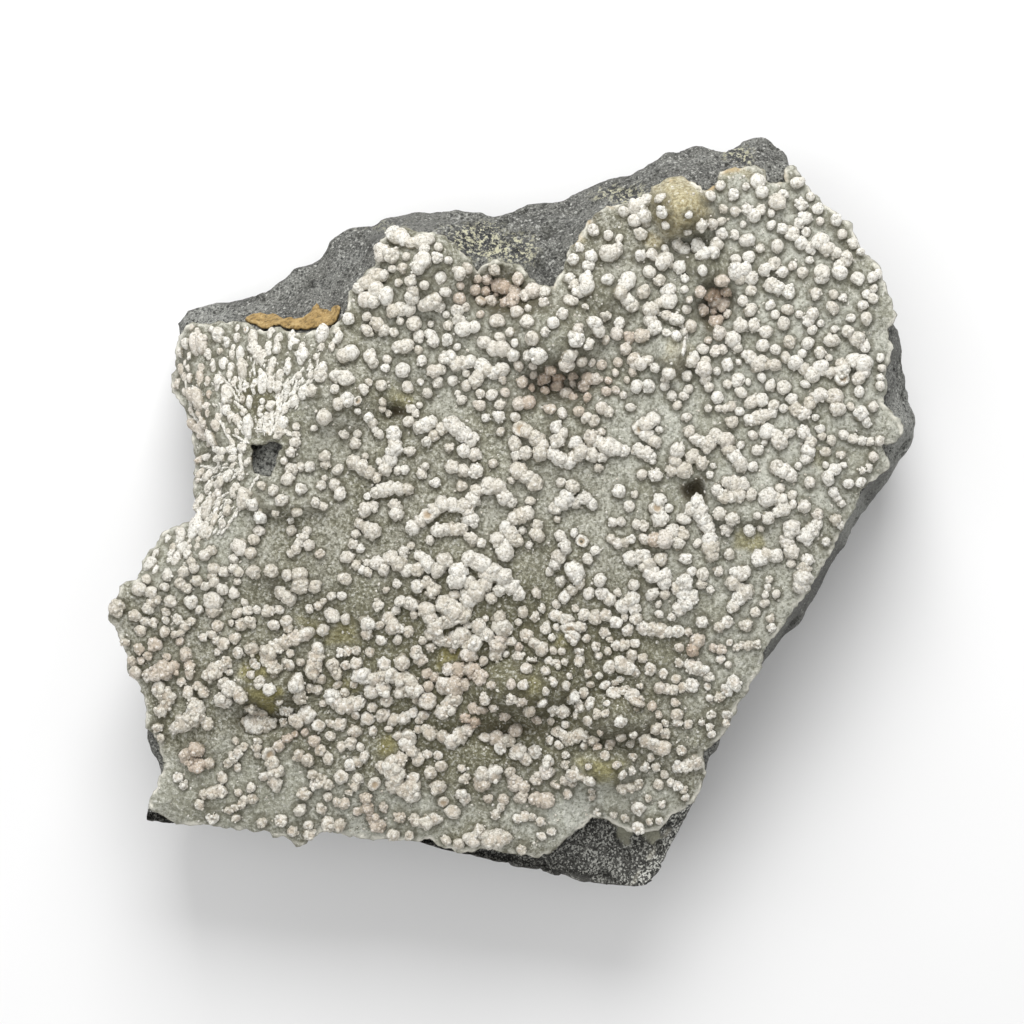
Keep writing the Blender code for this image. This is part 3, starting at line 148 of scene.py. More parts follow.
# Fine basalt
BASALT_VOXEL = 0.78
BARE_FROM = 8.0          # height above which the rock counts as face and not as side
FINE_FROM = 9.0          # height above which its bare face has smaller faces
FINE_BESIDE = 0.8        # and how far under the crust's edge
BASALT_RELIEF = ((0.4, 5.0, 2), (0.16, 1.6, 3))   # height, wave and octaves of each roughness
SCALLOP_DEPTH = 1.1      # of the shells broken out of its sides
SCALLOP_SIZE = 6.0
HOLEY_RELIEF = (0.35, 0.9, 2)
UNDER_HOLLOWS = (9.0, 0.05, 1.6)   # wave, least and height of the hollows of the underside
CORNER_FALL = 0.7        # slope beyond the ridge at the lower right corner
CORNER_DEPTH = 2.5
PITS = 420
PIT_RADIUS = (0.25, 1.0)
PIT_DEPTH = 0.8          # in pit radii

# Fine balls
BALL_SHAPES = 24         # different lumpy shapes, each used for many balls
BALL_POINTS = 122        # of one shape
BALL_UNDERSIDE = -0.6    # below this a ball has few points, because the crust hides it
BALL_SCALE = (0.87, 0.97)   # of the seeded sizes, on the upper and the lower face
RIGHT_SCALE = 0.86       # and smaller again low on the right
BALL_SIZES = {           # spread of the sizes by kind; linked balls stand in a chain
    "single": (0.8, 1.1),
    "linked": (0.98, 1.2),
    "flank": (0.75, 1.2),
    "small": (0.9, 1.1),
}
BALL_STRETCH = (0.82, 1.15)
BALL_STAND = (0.3, 0.6)  # height of a ball's middle above the crust, in ball radii
BALL_LEAN = 0.3          # how far a ball's top strays from the face's direction
BALL_LUMPS = ((0.2, 1.5), (0.17, 3.4))   # height and fineness of its lumps
BALL_JITTER = 0.12       # how far single points stray
CRUMB_JITTER = 0.15      # the same on streaks and specks
CALM = 0.55              # share of the lumps that balls high on the face lack
CALM_Y = (6.0, 14.0)     # from where to where they get calmer
LOBES = (0, 1, 1, 1, 2, 3)   # numbers of side lobes to choose from
LOBE_SIZE = (0.3, 0.65)  # in ball radii
TEETH = (3, 4, 5, 6, 7)
TOOTH_SIZE = (0.16, 0.36)
BROKEN_SHARE = 0.01      # of the balls are broken open
BROKEN_AT = (0.35, 0.65)
DISC_Y = (-6.0, -18.0)   # from where to where the balls turn into discs
DISC_SQUASH = 0.4
DISC_LEAN = 0.3
BALL_TONE = 0.5          # how white a ball is, from 0 to 1
TONE_SPREAD = 0.32       # how far single balls differ from that
TONE_RISE = 0.005        # whiter to the upper right, by the millimetre
FLANK_TONE = 0.3         # and on the left flank
TAN_SHARE = (0.4, 1.1)   # of a tan stretch, and the tan of single balls elsewhere
TAN_STRAY = (-0.15, 0.13)
FLANK_STAND = (0.0, 0.4)      # height of a flank ball's middle, in ball radii
FLANK_STRETCH = (0.1, 0.9)    # a ball there is longer by this share
FLANK_CENTRE = (-30.0, 7.0)   # and points away from here
SMALL_COUNT = 330        # small balls that crowd between the others
SMALL_GROUP = 100000     # the group that they all belong to
SMALL_TRIES = 9000
SMALL_POINTS = 62
SMALL_RADIUS = (0.54, 0.84)
SMALL_BESIDE = 0.8       # share of them that grow beside a larger ball
SMALL_AWAY = 0.9         # of the radii's sum, from that ball
SMALL_SPACE = 0.85       # of the radii's sum, from every ball
SMALL_ANYWHERE = 0.12    # share of the tries that count outside the crowded stretches
STREAKS = 90
STREAK_START = (2.2, 10.0)    # distance from the centre of the flank
STREAK_LENGTH = (1.8, 5.0)
STREAK_WIDTH = (0.13, 0.2)
STREAK_STEP = 0.24
STREAK_DRAWN = 1.4       # a streak's grains are longer by this share
STREAK_RISE = 0.1
BARE_SPOT = (-30.6, 14.0, 2.0, 2.8)      # olive crust without streaks: place and half-sizes
STREAK_FANS = ((0.5, 2.0), (3.3, 4.9))   # stretches of directions with most streaks
FAN_SHARE = 0.75         # of the streaks that lie there
STREAK_BEND = 0.3
STREAK_STRAY = 0.05      # of its grains
RIM_STRAY = 0.07
RIM_WIDTH = (0.8, 1.5)   # of the rims' grains, in the widest streak's widths
SPECKS = 2550            # loose crumbs, before those beside the crust are left out
SPECK_RADIUS = (0.1, 0.28)
SPECK_X = (-48.0, 46.0)
SPECK_Y = (-41.0, 41.5)
FACE_X = (-47.0, 45.0)   # where blisters and small balls are tried
FACE_Y = (-40.0, 41.0)
SEEDS = {"blisters": 77, "pits": 19, "small": 31, "balls": 4, "streaks": 12, "specks": 8}

# Light: name, place, width and power of each lamp
AMBIENT = 0.55
LIGHTS = (
    ("key", (0.0, 330.0, 330.0), 260.0, 2.0),
    ("fill", (-180.0, -60.0, 450.0), 400.0, 0.7),
)
FLOOR_WIDTH = 1600.0

CRUST_OUTLINE = (
    (-40.3, 20.5), (-39.6, 22.4), (-38.0, 22.8), (-36.5, 22.6), (-34.5, 23.1), (-32.4, 22.8),
    (-30.0, 22.0), (-28.0, 22.3), (-25.5, 21.6), (-23.3, 21.9), (-21.6, 22.0), (-20.7, 23.6),
    (-19.8, 25.0), (-19.5, 26.5), (-18.0, 28.5), (-16.4, 29.6), (-16.2, 31.5), (-15.8, 32.8),
    (-14.6, 34.0), (-13.0, 34.0), (-10.5, 33.8), (-8.5, 33.4), (-7.0, 32.0), (-5.9, 30.8),
    (-4.3, 29.0), (-3.2, 30.0), (-2.0, 30.4), (-0.3, 29.9), (0.7, 29.6), (2.0, 28.2), (3.5, 27.3),
    (4.7, 27.0), (5.3, 27.9), (6.3, 29.5), (6.5, 31.5), (7.2, 32.3), (8.4, 33.6), (8.8, 34.8),
    (10.1, 35.8), (10.8, 36.8), (12.5, 37.1), (14.2, 37.0), (15.8, 38.0), (16.7, 39.1),
    (18.5, 40.1), (20.5, 40.4), (22.0, 39.4), (23.4, 38.7), (24.6, 39.8), (24.8, 41.0),
    (27.0, 41.5), (30.0, 41.5), (30.2, 40.0), (31.2, 39.4), (32.7, 39.8), (32.6, 41.2),
    (33.6, 41.9), (34.7, 39.8), (36.2, 38.0), (38.6, 36.2), (40.4, 34.7), (41.1, 32.9),
    (42.2, 31.1), (44.0, 29.3), (44.7, 26.9), (45.4, 24.9), (45.8, 23.5), (44.7, 22.1),
    (45.5, 19.9), (44.5, 17.3), (44.6, 14.9), (44.0, 13.4), (45.8, 11.5), (46.7, 10.1),
    (45.8, 8.9), (44.0, 8.3), (44.6, 6.7), (45.2, 5.8), (43.4, 4.3), (41.6, 2.6), (40.1, -0.5),
    (38.7, -3.1), (37.5, -5.8), (35.8, -8.2), (34.4, -10.3), (32.9, -12.2), (31.4, -14.4),
    (30.2, -16.3), (29.5, -18.3), (28.6, -19.9), (27.8, -21.4), (26.6, -23.1), (25.7, -25.2),
    (24.6, -27.0), (23.6, -27.7), (22.5, -28.3), (22.6, -29.6), (23.1, -30.6), (22.4, -33.1),
    (21.2, -34.7), (19.0, -36.0), (17.7, -37.7), (15.2, -38.2), (13.0, -37.6), (11.3, -36.5),
    (9.4, -36.2), (8.0, -37.7), (6.3, -38.9), (5.1, -40.3), (2.6, -41.2), (-0.4, -40.6),
    (-2.8, -40.1), (-5.8, -40.4), (-8.2, -40.0), (-10.0, -38.8), (-11.0, -39.3), (-13.6, -39.1),
    (-17.2, -38.8), (-20.8, -38.4), (-23.0, -37.9), (-25.6, -40.0), (-27.5, -38.5),
    (-31.6, -37.9), (-36.4, -37.3), (-40.4, -37.1), (-41.9, -36.2), (-43.5, -35.2),
    (-43.4, -34.2), (-42.9, -33.0), (-42.3, -31.6), (-41.4, -29.8), (-42.2, -28.8),
    (-42.4, -27.6), (-43.2, -26.4), (-44.0, -25.6), (-44.1, -24.0), (-44.3, -22.0),
    (-45.0, -20.6), (-45.9, -19.3), (-46.2, -17.5), (-46.9, -15.4), (-47.5, -13.3),
    (-48.5, -12.7), (-47.8, -10.7), (-47.1, -8.8), (-44.8, -7.9), (-44.2, -5.8), (-43.9, -4.6),
    (-42.4, -3.1), (-41.8, -2.0), (-40.0, -1.7), (-38.1, -0.5), (-38.3, 2.9), (-38.2, 6.5),
    (-38.6, 10.1), (-39.2, 12.5), (-40.6, 14.3), (-41.0, 15.8), (-40.4, 17.9),
)

# A bare spot on the left flank where the crust has come away
CRUST_HOLE = (
    (-31.6, 8.3), (-30.5, 8.5), (-28.9, 8.7), (-27.6, 8.2), (-28.6, 6.5), (-28.5, 5.5),
    (-29.0, 4.5), (-31.3, 4.7), (-31.2, 6.5),
)

BASALT_OUTLINE = (
    (-39.9, 20.6), (-40.5, 23.0), (-38.8, 24.7), (-35.8, 25.4), (-33.4, 25.9), (-30.2, 26.6),
    (-28.0, 28.0), (-25.6, 29.4), (-24.2, 29.5), (-23.0, 30.8), (-21.8, 32.9), (-19.9, 34.1),
    (-16.3, 34.6), (-15.7, 35.4), (-12.4, 35.9), (-7.0, 36.5), (-4.6, 36.2), (-2.0, 35.8),
    (-0.2, 36.5), (1.4, 37.1), (6.2, 37.1), (8.6, 38.4), (11.0, 40.0), (14.0, 40.8),
    (17.0, 42.2), (19.7, 43.4), (21.8, 44.3), (23.3, 44.3), (24.8, 43.7), (26.3, 43.9),
    (28.1, 45.1), (29.9, 45.2), (31.4, 44.5), (33.2, 43.3), (33.6, 41.7), (34.2, 39.7),
    (35.8, 37.6), (38.2, 35.8), (39.9, 34.3), (40.6, 32.6), (41.7, 30.7), (43.5, 28.9),
    (44.2, 26.7), (45.0, 24.9), (46.3, 22.1), (46.5, 19.1), (47.1, 16.1), (47.8, 13.4),
    (48.4, 11.3), (47.9, 8.9), (46.7, 6.2), (44.6, 3.8), (42.5, 0.7), (40.6, -2.2),
    (38.9, -4.9), (37.0, -7.7), (35.6, -10.3), (33.8, -13.0), (31.7, -15.7), (30.2, -17.9),
    (28.4, -19.6), (27.3, -21.1), (26.1, -22.9), (25.2, -25.0), (24.8, -27.7), (23.9, -29.0),
    (23.3, -30.1), (22.7, -32.5), (21.4, -35.3), (19.6, -37.7), (18.5, -40.9), (17.0, -44.4),
    (15.8, -45.1), (12.8, -45.0), (9.2, -44.4), (5.6, -43.4), (2.0, -42.5), (-1.6, -41.8),
    (-5.2, -41.2), (-8.8, -40.3), (-13.6, -38.7), (-20.8, -38.0), (-27.5, -38.0),
    (-31.6, -37.4), (-36.4, -36.9), (-41.8, -37.2), (-44.0, -36.7), (-43.9, -34.9),
    (-42.9, -33.3), (-42.2, -31.4), (-42.8, -30.2), (-43.6, -28.4), (-44.2, -26.6),
    (-43.6, -24.1), (-43.9, -21.9), (-45.3, -19.1), (-46.3, -15.2), (-47.0, -13.6),
    (-47.8, -12.4), (-47.2, -10.9), (-46.5, -9.2), (-44.3, -8.3), (-43.6, -6.0), (-43.3, -4.9),
    (-41.9, -3.6), (-41.3, -2.5), (-39.6, -2.2), (-37.6, -0.9), (-37.7, 6.5), (-38.1, 9.9),
    (-38.7, 12.1), (-40.0, 14.1), (-40.4, 15.8), (-39.9, 17.9),
)

CLAY_OUTLINE = (
    (-32.3, 23.3), (-31.2, 23.9), (-30.0, 23.7), (-28.5, 23.9), (-27.5, 23.5), (-26.0, 23.2),
    (-25.0, 23.3), (-24.5, 24.1), (-23.6, 25.5), (-22.9, 24.3), (-22.0, 24.0), (-21.4, 24.8),
    (-20.7, 24.9), (-20.9, 24.0), (-21.7, 22.6), (-23.4, 22.4), (-25.5, 22.1), (-28.0, 22.8),
    (-30.0, 22.5),
)

# The ridge beyond which the left flank falls away, and a small ledge lower on that flank
RIDGE = (
    (-15.7, 35.0), (-17.0, 30.2), (-19.6, 25.7), (-20.2, 20.9), (-23.5, 17.0), (-25.6, 13.7),
    (-27.7, 8.9), (-31.6, 2.9), (-33.8, -1.3), (-38.8, -5.5), (-41.8, -7.3), (-46.6, -8.9),
    (-60.0, -9.2),
)
LEDGE = (
    (-40.0, 24.0), (-39.6, 19.0), (-39.2, 16.1), (-37.6, 11.3), (-35.5, 7.7), (-35.0, 1.7),
    (-37.0, -3.1), (-41.5, -6.4), (-46.6, -8.0), (-60.0, -8.4),
)

# Lumps and hollows of the face: place, half-width, reach up, reach down, height
LUMPS = (
    (-10.0, 29.3, 5.6, 5.0, 5.0, 2.0),
    (-2.2, 26.9, 3.9, 3.2, 3.4, -3.0),
    (5.0, 21.5, 6.2, 5.2, 4.8, 4.0),
    (5.6, 15.9, 4.8, 2.4, 2.8, -2.5),
    (20.3, 37.0, 4.4, 3.4, 4.4, 4.0),
    (21.0, 32.6, 2.8, 2.2, 2.2, -1.5),
    (22.5, 29.8, 2.4, 2.4, 2.4, 2.0),
    (21.0, 26.5, 2.0, 2.0, 2.0, 1.4),
    (24.4, 25.2, 2.8, 3.0, 3.6, -3.6),
    (18.9, 19.3, 2.4, 3.2, 3.2, 3.0),
    (10.4, 26.6, 3.0, 2.8, 2.8, 1.5),
    (-20.8, 13.7, 4.4, 4.2, 4.2, 1.8),
    (-27.0, 1.2, 5.2, 4.2, 1.8, 2.2),
    (-29.3, -7.3, 1.6, 1.6, 1.6, 1.2),
    (-29.8, -21.4, 4.6, 3.8, 1.6, 2.2),
    (-29.8, -23.8, 4.2, 1.2, 3.2, -1.8),
    (0.8, -21.1, 6.8, 3.8, 3.2, 3.8),
    (-1.0, -26.0, 8.0, 2.2, 3.2, -1.4),
    (12.4, -24.8, 5.2, 3.6, 2.4, 3.3),
    (11.2, -30.6, 4.8, 3.0, 2.6, 2.8),
    (4.4, -9.0, 2.8, 7.0, 7.0, -1.0),
    (28.0, -0.4, 3.8, 2.8, 1.2, 1.2),
    (21.8, 2.8, 1.5, 1.6, 1.4, -2.2),
    (-14.2, 12.2, 1.5, 1.4, 1.4, -2.0),
    (-8.8, 28.4, 1.0, 1.0, 1.0, -1.3),
)

# Height of the basalt's rim, by the bearing in degrees at which it is seen
RIM_HEIGHTS = (
    (-180, 17.0), (-170, 21.0), (-150, 21.0), (-135, 20.0), (-112, 21.0), (-100, 20.0),
    (-90, 18.0), (-80, 19.0), (-70, 19.0), (-62, 17.0), (-55, 20.0), (-36, 22.0), (-30, 17.0),
    (-10, 13.0), (8, 12.0), (16, 12.5), (26, 17.0), (34, 22.5), (46, 22.5), (52, 19.0),
    (60, 16.0), (72, 14.0), (84, 13.0), (96, 13.5), (112, 13.0), (124, 12.0), (140, 9.0),
    (152, 7.0), (165, 8.0), (180, 9.0),
)

# Chains of balls, each through the places where it bends, and single balls at one place
CHAINS = (
    ((-12.0, -1.6), (-8.6, 1.2), (-6.0, 1.0), (-5.2, -0.6), (-6.2, -1.8), (-9.0, -2.0)),
    ((-5.3, 0.9), (-4.4, 2.8)),
    ((-10.4, 8.6), (-8.6, 10.2), (-9.8, 11.0), (-11.3, 10.4)),
    ((-7.4, 10.7), (-6.0, 9.5), (-5.0, 8.9)),
    ((-14.3, 9.6), (-14.2, 7.6), (-15.3, 5.4)),
    ((-19.2, 6.2), (-16.4, 4.4)),
    ((-16.4, 2.6), (-14.8, 3.1), (-12.7, 3.0)),
    ((-18.4, -1.2), (-16.8, -2.1)),
    ((-14.7, -5.3), (-12.8, -6.8)),
    ((-16.4, -5.9), (-15.6, -6.7)),
    ((-11.1, -5.1), (-10.2, -6.0), (-11.5, -6.7)),
    ((-8.3, -5.5), (-8.9, -6.6)),
    ((-5.3, -5.4), (-3.8, -5.9), (-2.4, -7.0), (-1.2, -7.5)),
    ((-3.2, -7.3), (-3.5, -8.4), (-5.3, -10.1), (-5.7, -11.2), (-7.0, -11.6), (-8.3, -10.7)),
    ((-7.9, -12.6), (-6.1, -12.1)),
    ((-1.7, -9.0), (-0.3, -8.6), (0.7, -9.4)),
    ((-6.6, -6.8), (-6.9, -7.9), (-5.4, -8.1)),
    ((-11.5, -8.6), (-10.3, -8.2), (-9.6, -9.1)),
    ((-13.5, -10.3), (-12.2, -10.7)),
    ((-10.4, -11.5), (-9.4, -13.4), (-9.8, -14.2), (-8.8, -15.0)),
    ((-8.0, -15.2), (-6.2, -14.6)),
    ((-5.5, -15.6), (-4.6, -15.4), (-5.4, -16.7)),
    ((-4.2, -13.4), (-3.2, -14.4)),
    ((-1.7, -12.3), (-1.3, -13.6), (-2.2, -16.9)),
    ((-2.9, 3.3), (-1.8, 3.2), (-1.1, 2.0), (-0.3, 1.5)),
    ((-7.3, 5.6), (-6.0, 5.2), (-4.5, 5.1)),
    ((-6.0, 7.5), (-4.7, 7.1)),
    ((0.2, 8.5), (0.3, 7.0), (1.5, 7.3)),
    ((0.9, 10.2), (2.4, 9.5), (3.5, 8.3), (3.3, 7.3)),
    ((4.8, 7.3), (5.6, 6.6)),
    ((0.6, 5.1), (1.4, 4.4), (2.5, 3.7)),
    ((5.1, 10.4), (5.9, 9.6), (5.3, 8.8)),
    ((7.5, 8.6), (7.9, 7.5), (6.6, 6.2)),
    ((9.2, 9.2), (10.6, 8.3), (13.2, 7.5)),
    ((9.3, 7.2), (10.6, 6.8)),
    ((7.1, 3.4), (6.4, 2.0), (5.0, 0.6)),
    ((7.4, 1.4), (8.6, 1.9), (9.5, 1.2)),
    ((1.6, 0.1), (0.0, -0.5), (-0.9, -1.6), (0.2, -3.1)),
    ((2.9, -1.3), (2.9, -2.5)),
    ((-2.0, -3.0), (-1.0, -3.8), (-1.1, -4.7)),
    ((7.4, -6.7), (8.0, -8.3), (6.4, -9.9)),
    ((5.1, -12.2), (6.6, -12.8), (7.2, -14.7)),
    ((8.5, -12.1), (8.1, -13.5)),
    ((9.7, -12.4), (11.0, -12.1), (12.2, -12.9)),
    ((28.5, 13.4), (29.8, 13.7), (31.2, 13.1), (31.0, 12.2), (28.4, 11.3)),
    ((33.5, 13.8), (33.9, 12.5)),
    ((36.7, 14.3), (35.5, 13.3), (34.9, 12.1)),
    ((38.6, 14.0), (38.9, 12.6)),
    ((30.4, 9.9), (31.5, 9.5), (31.9, 8.7)),
    ((21.0, 9.9), (21.8, 8.9), (23.4, 8.3)),
    ((24.3, 9.3), (25.5, 8.8)),
    ((16.7, 11.3), (15.2, 10.3), (16.9, 8.7)),
    ((15.0, 7.7), (16.5, 6.8)),
    ((19.6, 7.6), (19.0, 5.3), (20.4, 5.3)),
    ((21.4, 6.9), (22.5, 6.1)),
    ((25.7, 7.7), (27.2, 6.0)),
    ((31.6, 5.6), (33.2, 4.6)),
    ((34.8, 9.8), (35.6, 8.6), (35.1, 6.7)),
    ((24.4, 2.9), (25.6, 3.8), (27.4, 3.5)),
    ((25.3, 2.1), (27.0, 2.0), (28.5, 2.1)),
    ((30.5, 2.0), (32.2, 1.8)),
    ((38.5, 5.3), (37.7, 4.3)),
    ((17.5, 1.7), (17.0, 0.7), (17.5, -0.5)),
    ((21.2, 0.4), (20.4, -0.6)),
    ((22.0, 1.1), (22.5, -0.4)),
    ((19.0, -2.1), (20.3, -2.5), (19.8, -3.5)),
    ((15.6, -3.0), (18.1, -3.1)),
    ((23.2, -1.7), (23.4, -3.1), (23.7, -4.9)),
    ((14.1, -5.3), (15.8, -4.9), (16.6, -7.3)),
    ((18.0, -7.4), (18.1, -8.2)),
    ((20.5, -8.1), (19.5, -8.9), (21.3, -10.0), (19.9, -11.3)),
    ((26.3, -8.2), (26.6, -7.0), (27.5, -7.0)),
    ((29.5, -5.3), (30.3, -4.8), (31.4, -5.0)),
    ((35.2, -5.5), (34.8, -6.6), (34.4, -8.5)),
    ((36.4, 0.1), (36.3, -1.2), (35.0, -2.6)),
    ((33.3, -1.7), (32.8, -3.3), (33.3, -4.5)),
    ((30.4, -0.4), (32.3, 0.6)),
    ((27.7, -9.2), (26.3, -11.1)),
    ((25.6, -12.9), (24.6, -13.5)),
    ((14.7, -12.5), (15.5, -13.6), (17.5, -13.9)),
    ((18.4, -14.1), (19.6, -14.0)),
    ((14.4, -10.0), (13.0, -11.1), (14.5, -11.3)),
    ((11.5, -18.2), (12.9, -17.9), (14.5, -18.9)),
    ((21.3, -18.2), (22.9, -18.7), (23.4, -19.5)),
    ((17.5, -20.8), (19.1, -21.1), (21.3, -20.6)),
    ((26.4, -20.2), (24.7, -21.9)),
    ((12.0, -21.8), (13.6, -21.3), (14.6, -22.8)),
    ((16.9, -25.5), (18.2, -26.3)),
    ((15.9, -27.1), (17.9, -27.9)),
    ((19.8, -30.2), (21.8, -29.8)),
    ((12.9, -32.5), (14.7, -32.2)),
    ((-18.1, -19.4), (-16.6, -19.7), (-14.6, -19.3), (-12.3, -20.1)),
    ((-17.0, -21.1), (-15.6, -20.8), (-15.2, -22.3)),
    ((-13.4, -21.1), (-12.0, -20.9)),
    ((-7.8, -18.6), (-5.3, -18.5), (-3.7, -19.7)),
    ((-8.3, -20.6), (-5.7, -20.5)),
    ((-15.6, -24.0), (-14.4, -24.6), (-13.1, -24.4)),
    ((-7.2, -22.2), (-8.3, -23.6)),
    ((-10.0, -26.1), (-8.6, -26.6), (-7.4, -27.3), (-5.5, -25.7)),
    ((-12.5, -26.5), (-12.8, -27.6), (-11.4, -29.3)),
    ((-13.5, -29.3), (-15.7, -30.3), (-13.9, -30.9), (-14.4, -32.4), (-12.2, -33.4),
     (-12.0, -31.6)),
    ((-2.1, -26.9), (-1.7, -28.3), (-0.6, -27.3)),
    ((0.5, -28.7), (1.4, -29.3), (2.6, -28.6)),
    ((-0.5, -30.9), (0.1, -32.2), (1.2, -32.7)),
    ((0.9, -33.8), (2.4, -34.1), (4.0, -34.3)),
    ((-5.0, -39.0), (-4.1, -38.0), (-2.8, -38.8), (-0.9, -38.6)),
    ((-3.8, -32.2), (-3.6, -31.0), (-2.4, -31.1)),
    ((5.3, -26.1), (6.7, -26.9), (8.5, -26.2), (9.5, -26.9)),
    ((7.5, -31.1), (9.2, -31.7)),
    ((-43.8, -19.2), (-40.9, -18.4)),
    ((-34.4, -17.7), (-36.5, -19.3)),
    ((-29.5, -17.4), (-28.7, -18.8)),
    ((-29.4, -16.6), (-27.4, -15.3), (-25.0, -14.3)),
    ((-23.5, -16.2), (-24.1, -18.8)),
    ((-42.5, -20.9), (-41.2, -22.1), (-42.2, -23.6)),
    ((-38.3, -22.6), (-37.8, -24.1), (-40.3, -25.5)),
    ((-34.7, -20.3), (-32.6, -21.5)),
    ((-26.4, -20.4), (-26.0, -21.7)),
    ((-21.7, -21.8), (-20.6, -23.1), (-18.7, -22.6)),
    ((-32.2, -24.9), (-30.8, -25.8), (-29.1, -25.3)),
    ((-38.0, -28.1), (-39.1, -28.9), (-38.1, -30.0)),
    ((-29.3, -28.7), (-28.4, -30.8), (-28.5, -32.1)),
    ((-19.0, -26.0), (-19.5, -27.4)),
    ((-14.3, 33.5), (-12.9, 32.6)), ((-9.2, 33.2),), ((-12, 32.3), (-10.2, 32.6)),
    ((-10.6, 31.6),), ((-15.4, 31.2), (-14.3, 30.8)), ((-9.3, 30.6),), ((-13.1, 29.5),),
    ((-11.3, 29.5), (-10.8, 30.3)), ((-16.2, 28.4), (-15.3, 28.5)), ((-12.2, 28),),
    ((-18.4, 26.9), (-17.4, 27.6)), ((-16.4, 26.7), (-15.2, 26)), ((-17.6, 25.6), (-16.8, 25.4)),
    ((-12.1, 26.1), (-11.9, 26.9)), ((-10.8, 25.2), (-9.4, 26)), ((-8.9, 25),),
    ((-14.5, 24.4), (-12.5, 24.8)), ((-12, 22.9),), ((-6.7, 24.4), (-6.5, 23.2), (-6, 22.2)),
    ((-7.8, 22.6),), ((-4.7, 22.4),), ((-17.4, 22), (-16.2, 22.8), (-15.5, 22.1)),
    ((-14.4, 21.8),), ((-11.4, 21.3),), ((-9.9, 21.4), (-9.6, 20.7)), ((-7.9, 20.9),),
    ((-13.8, 20), (-12.9, 20.1)), ((-3.5, 20.6), (-2.4, 19.9), (-1.3, 19.9)), ((-1.6, 21.2),),
    ((-0.2, 21.8),), ((0.2, 19.3),), ((2, 19.3), (3.1, 19.2)), ((2.4, 21.1),), ((1.7, 23),),
    ((0.6, 24),), ((4.8, 22.8), (5.8, 23.7)), ((9.2, 22.8), (9.7, 22)), ((7.5, 22.1), (7.4, 21)),
    ((8.7, 20.4),), ((6.6, 19.2), (6.3, 18.4)), ((-17.2, 18.9), (-16.8, 18.1)),
    ((-8.4, 18.6), (-7.6, 18.8)), ((-6.8, 18), (-5.2, 18.3)), ((-13.3, 17.3),),
    ((-9.6, 17.2), (-8.8, 17.4)), ((-9.1, 15.9),), ((-3.8, 17.8), (-2.3, 16.9)), ((-1.3, 17.3),),
    ((-5.6, 15.4), (-4.6, 16), (-4.2, 16.6)), ((-12.7, 15.2),), ((-15.9, 15.4),), ((0.9, 15.8),),
    ((-1.3, 16.2),), ((3.1, 15.9), (3.5, 16.6)), ((5.3, 16.6),), ((7.2, 16.8),),
    ((9.3, 16.4), (10.1, 16.3)), ((5.2, 15.1),), ((8.7, 15.2),), ((-2.3, 29.6), (-1.2, 29.7)),
    ((-3.3, 28.3),), ((-5, 26.8),), ((-1.8, 27.6), (-0.8, 27.3)), ((0.8, 28.4),), ((-3.6, 26.6),),
    ((-2.8, 25.2),), ((-4.2, 25.2),), ((-0.8, 25.2), (0.3, 25.4)), ((-5.8, 24.8),),
    ((0.5, 26.6),), ((1.6, 26.1), (2.2, 26.6), (3.8, 26.2)), ((6.8, 28.2), (8.2, 26.6)),
    ((6.6, 25.3),), ((9, 27.1), (8.9, 28)), ((11.2, 27.9),), ((9.3, 30.8),), ((9, 29.8),),
    ((11.3, 31.2), (12.3, 31.6)), ((11.4, 33.4),), ((9.6, 34),), ((7.3, 30.5),), ((12.4, 21.6),),
    ((13.2, 36.1),), ((14.7, 36.5), (15.3, 36.9)), ((16.3, 37.5),), ((15.8, 35.6), (14.5, 35.1)),
    ((18.1, 36.2),), ((15.3, 33.5),), ((15.2, 31),), ((16.6, 31.1),), ((18, 30.3), (17.8, 29.8)),
    ((16.3, 29),), ((17.5, 28),), ((13.7, 28), (12.5, 26.5)), ((15.6, 26.6),),
    ((14.2, 25), (13.6, 25.6)), ((18.8, 26.8), (18.6, 25.6)), ((17.5, 25.3),), ((16.4, 24.5),),
    ((18.3, 23.8), (19.4, 23.3)), ((16.4, 23.2), (16.9, 22.3)), ((12.7, 22.9),),
    ((13.9, 21.2), (15.4, 21.3)), ((13.5, 19.8),), ((12.6, 18.2),), ((14.4, 18.6), (15.2, 18)),
    ((16.1, 18.4),), ((14.3, 17.1),), ((14.8, 15.3), (16.2, 15.3)), ((18.7, 17.2),),
    ((22.3, 31.6), (22.8, 30.8), (23.7, 31.1)), ((24.4, 32.2),), ((25, 33.5),),
    ((22.3, 34.9), (23.5, 35)), ((23.3, 37.9),), ((25.2, 36.6),), ((26.4, 38.3),),
    ((28, 36.5), (28.8, 35.8)), ((29.6, 36.5),), ((29.7, 38.5), (29.2, 39.8)),
    ((31.5, 37.3), (32.2, 38.2)), ((33.9, 39.7),), ((34.4, 37),), ((34.2, 34.8), (35, 35.4)),
    ((36.4, 36.4),), ((38.5, 35),), ((32.2, 34.2),), ((33.4, 33.6),),
    ((34.5, 32.4), (35.6, 31.8)), ((31.6, 32.1),), ((29.5, 31.8),), ((28.2, 30.8),),
    ((36.8, 32.6), (37.5, 31.8), (38.6, 31.2), (39.7, 30.5)), ((39, 29.7), (39, 28.9)),
    ((40.6, 32.4),), ((41.2, 28.2),), ((26.6, 29), (27.1, 28.2)), ((27.7, 29.3),),
    ((28.4, 28.3),), ((30, 29.2),), ((31.2, 30),), ((32.2, 29),), ((34.7, 28.9),),
    ((36.9, 28.9), (36.9, 28.2)), ((30.8, 27.4), (31.8, 27), (33, 26.6)), ((28.4, 26.8),),
    ((28.4, 24.4),), ((30.8, 25),), ((32.9, 24.4),), ((36.2, 26.4),), ((38.2, 24.7),),
    ((35.8, 23.9), (35.4, 23.2)), ((32.4, 22.8),), ((41.8, 25),), ((42.2, 23.4),),
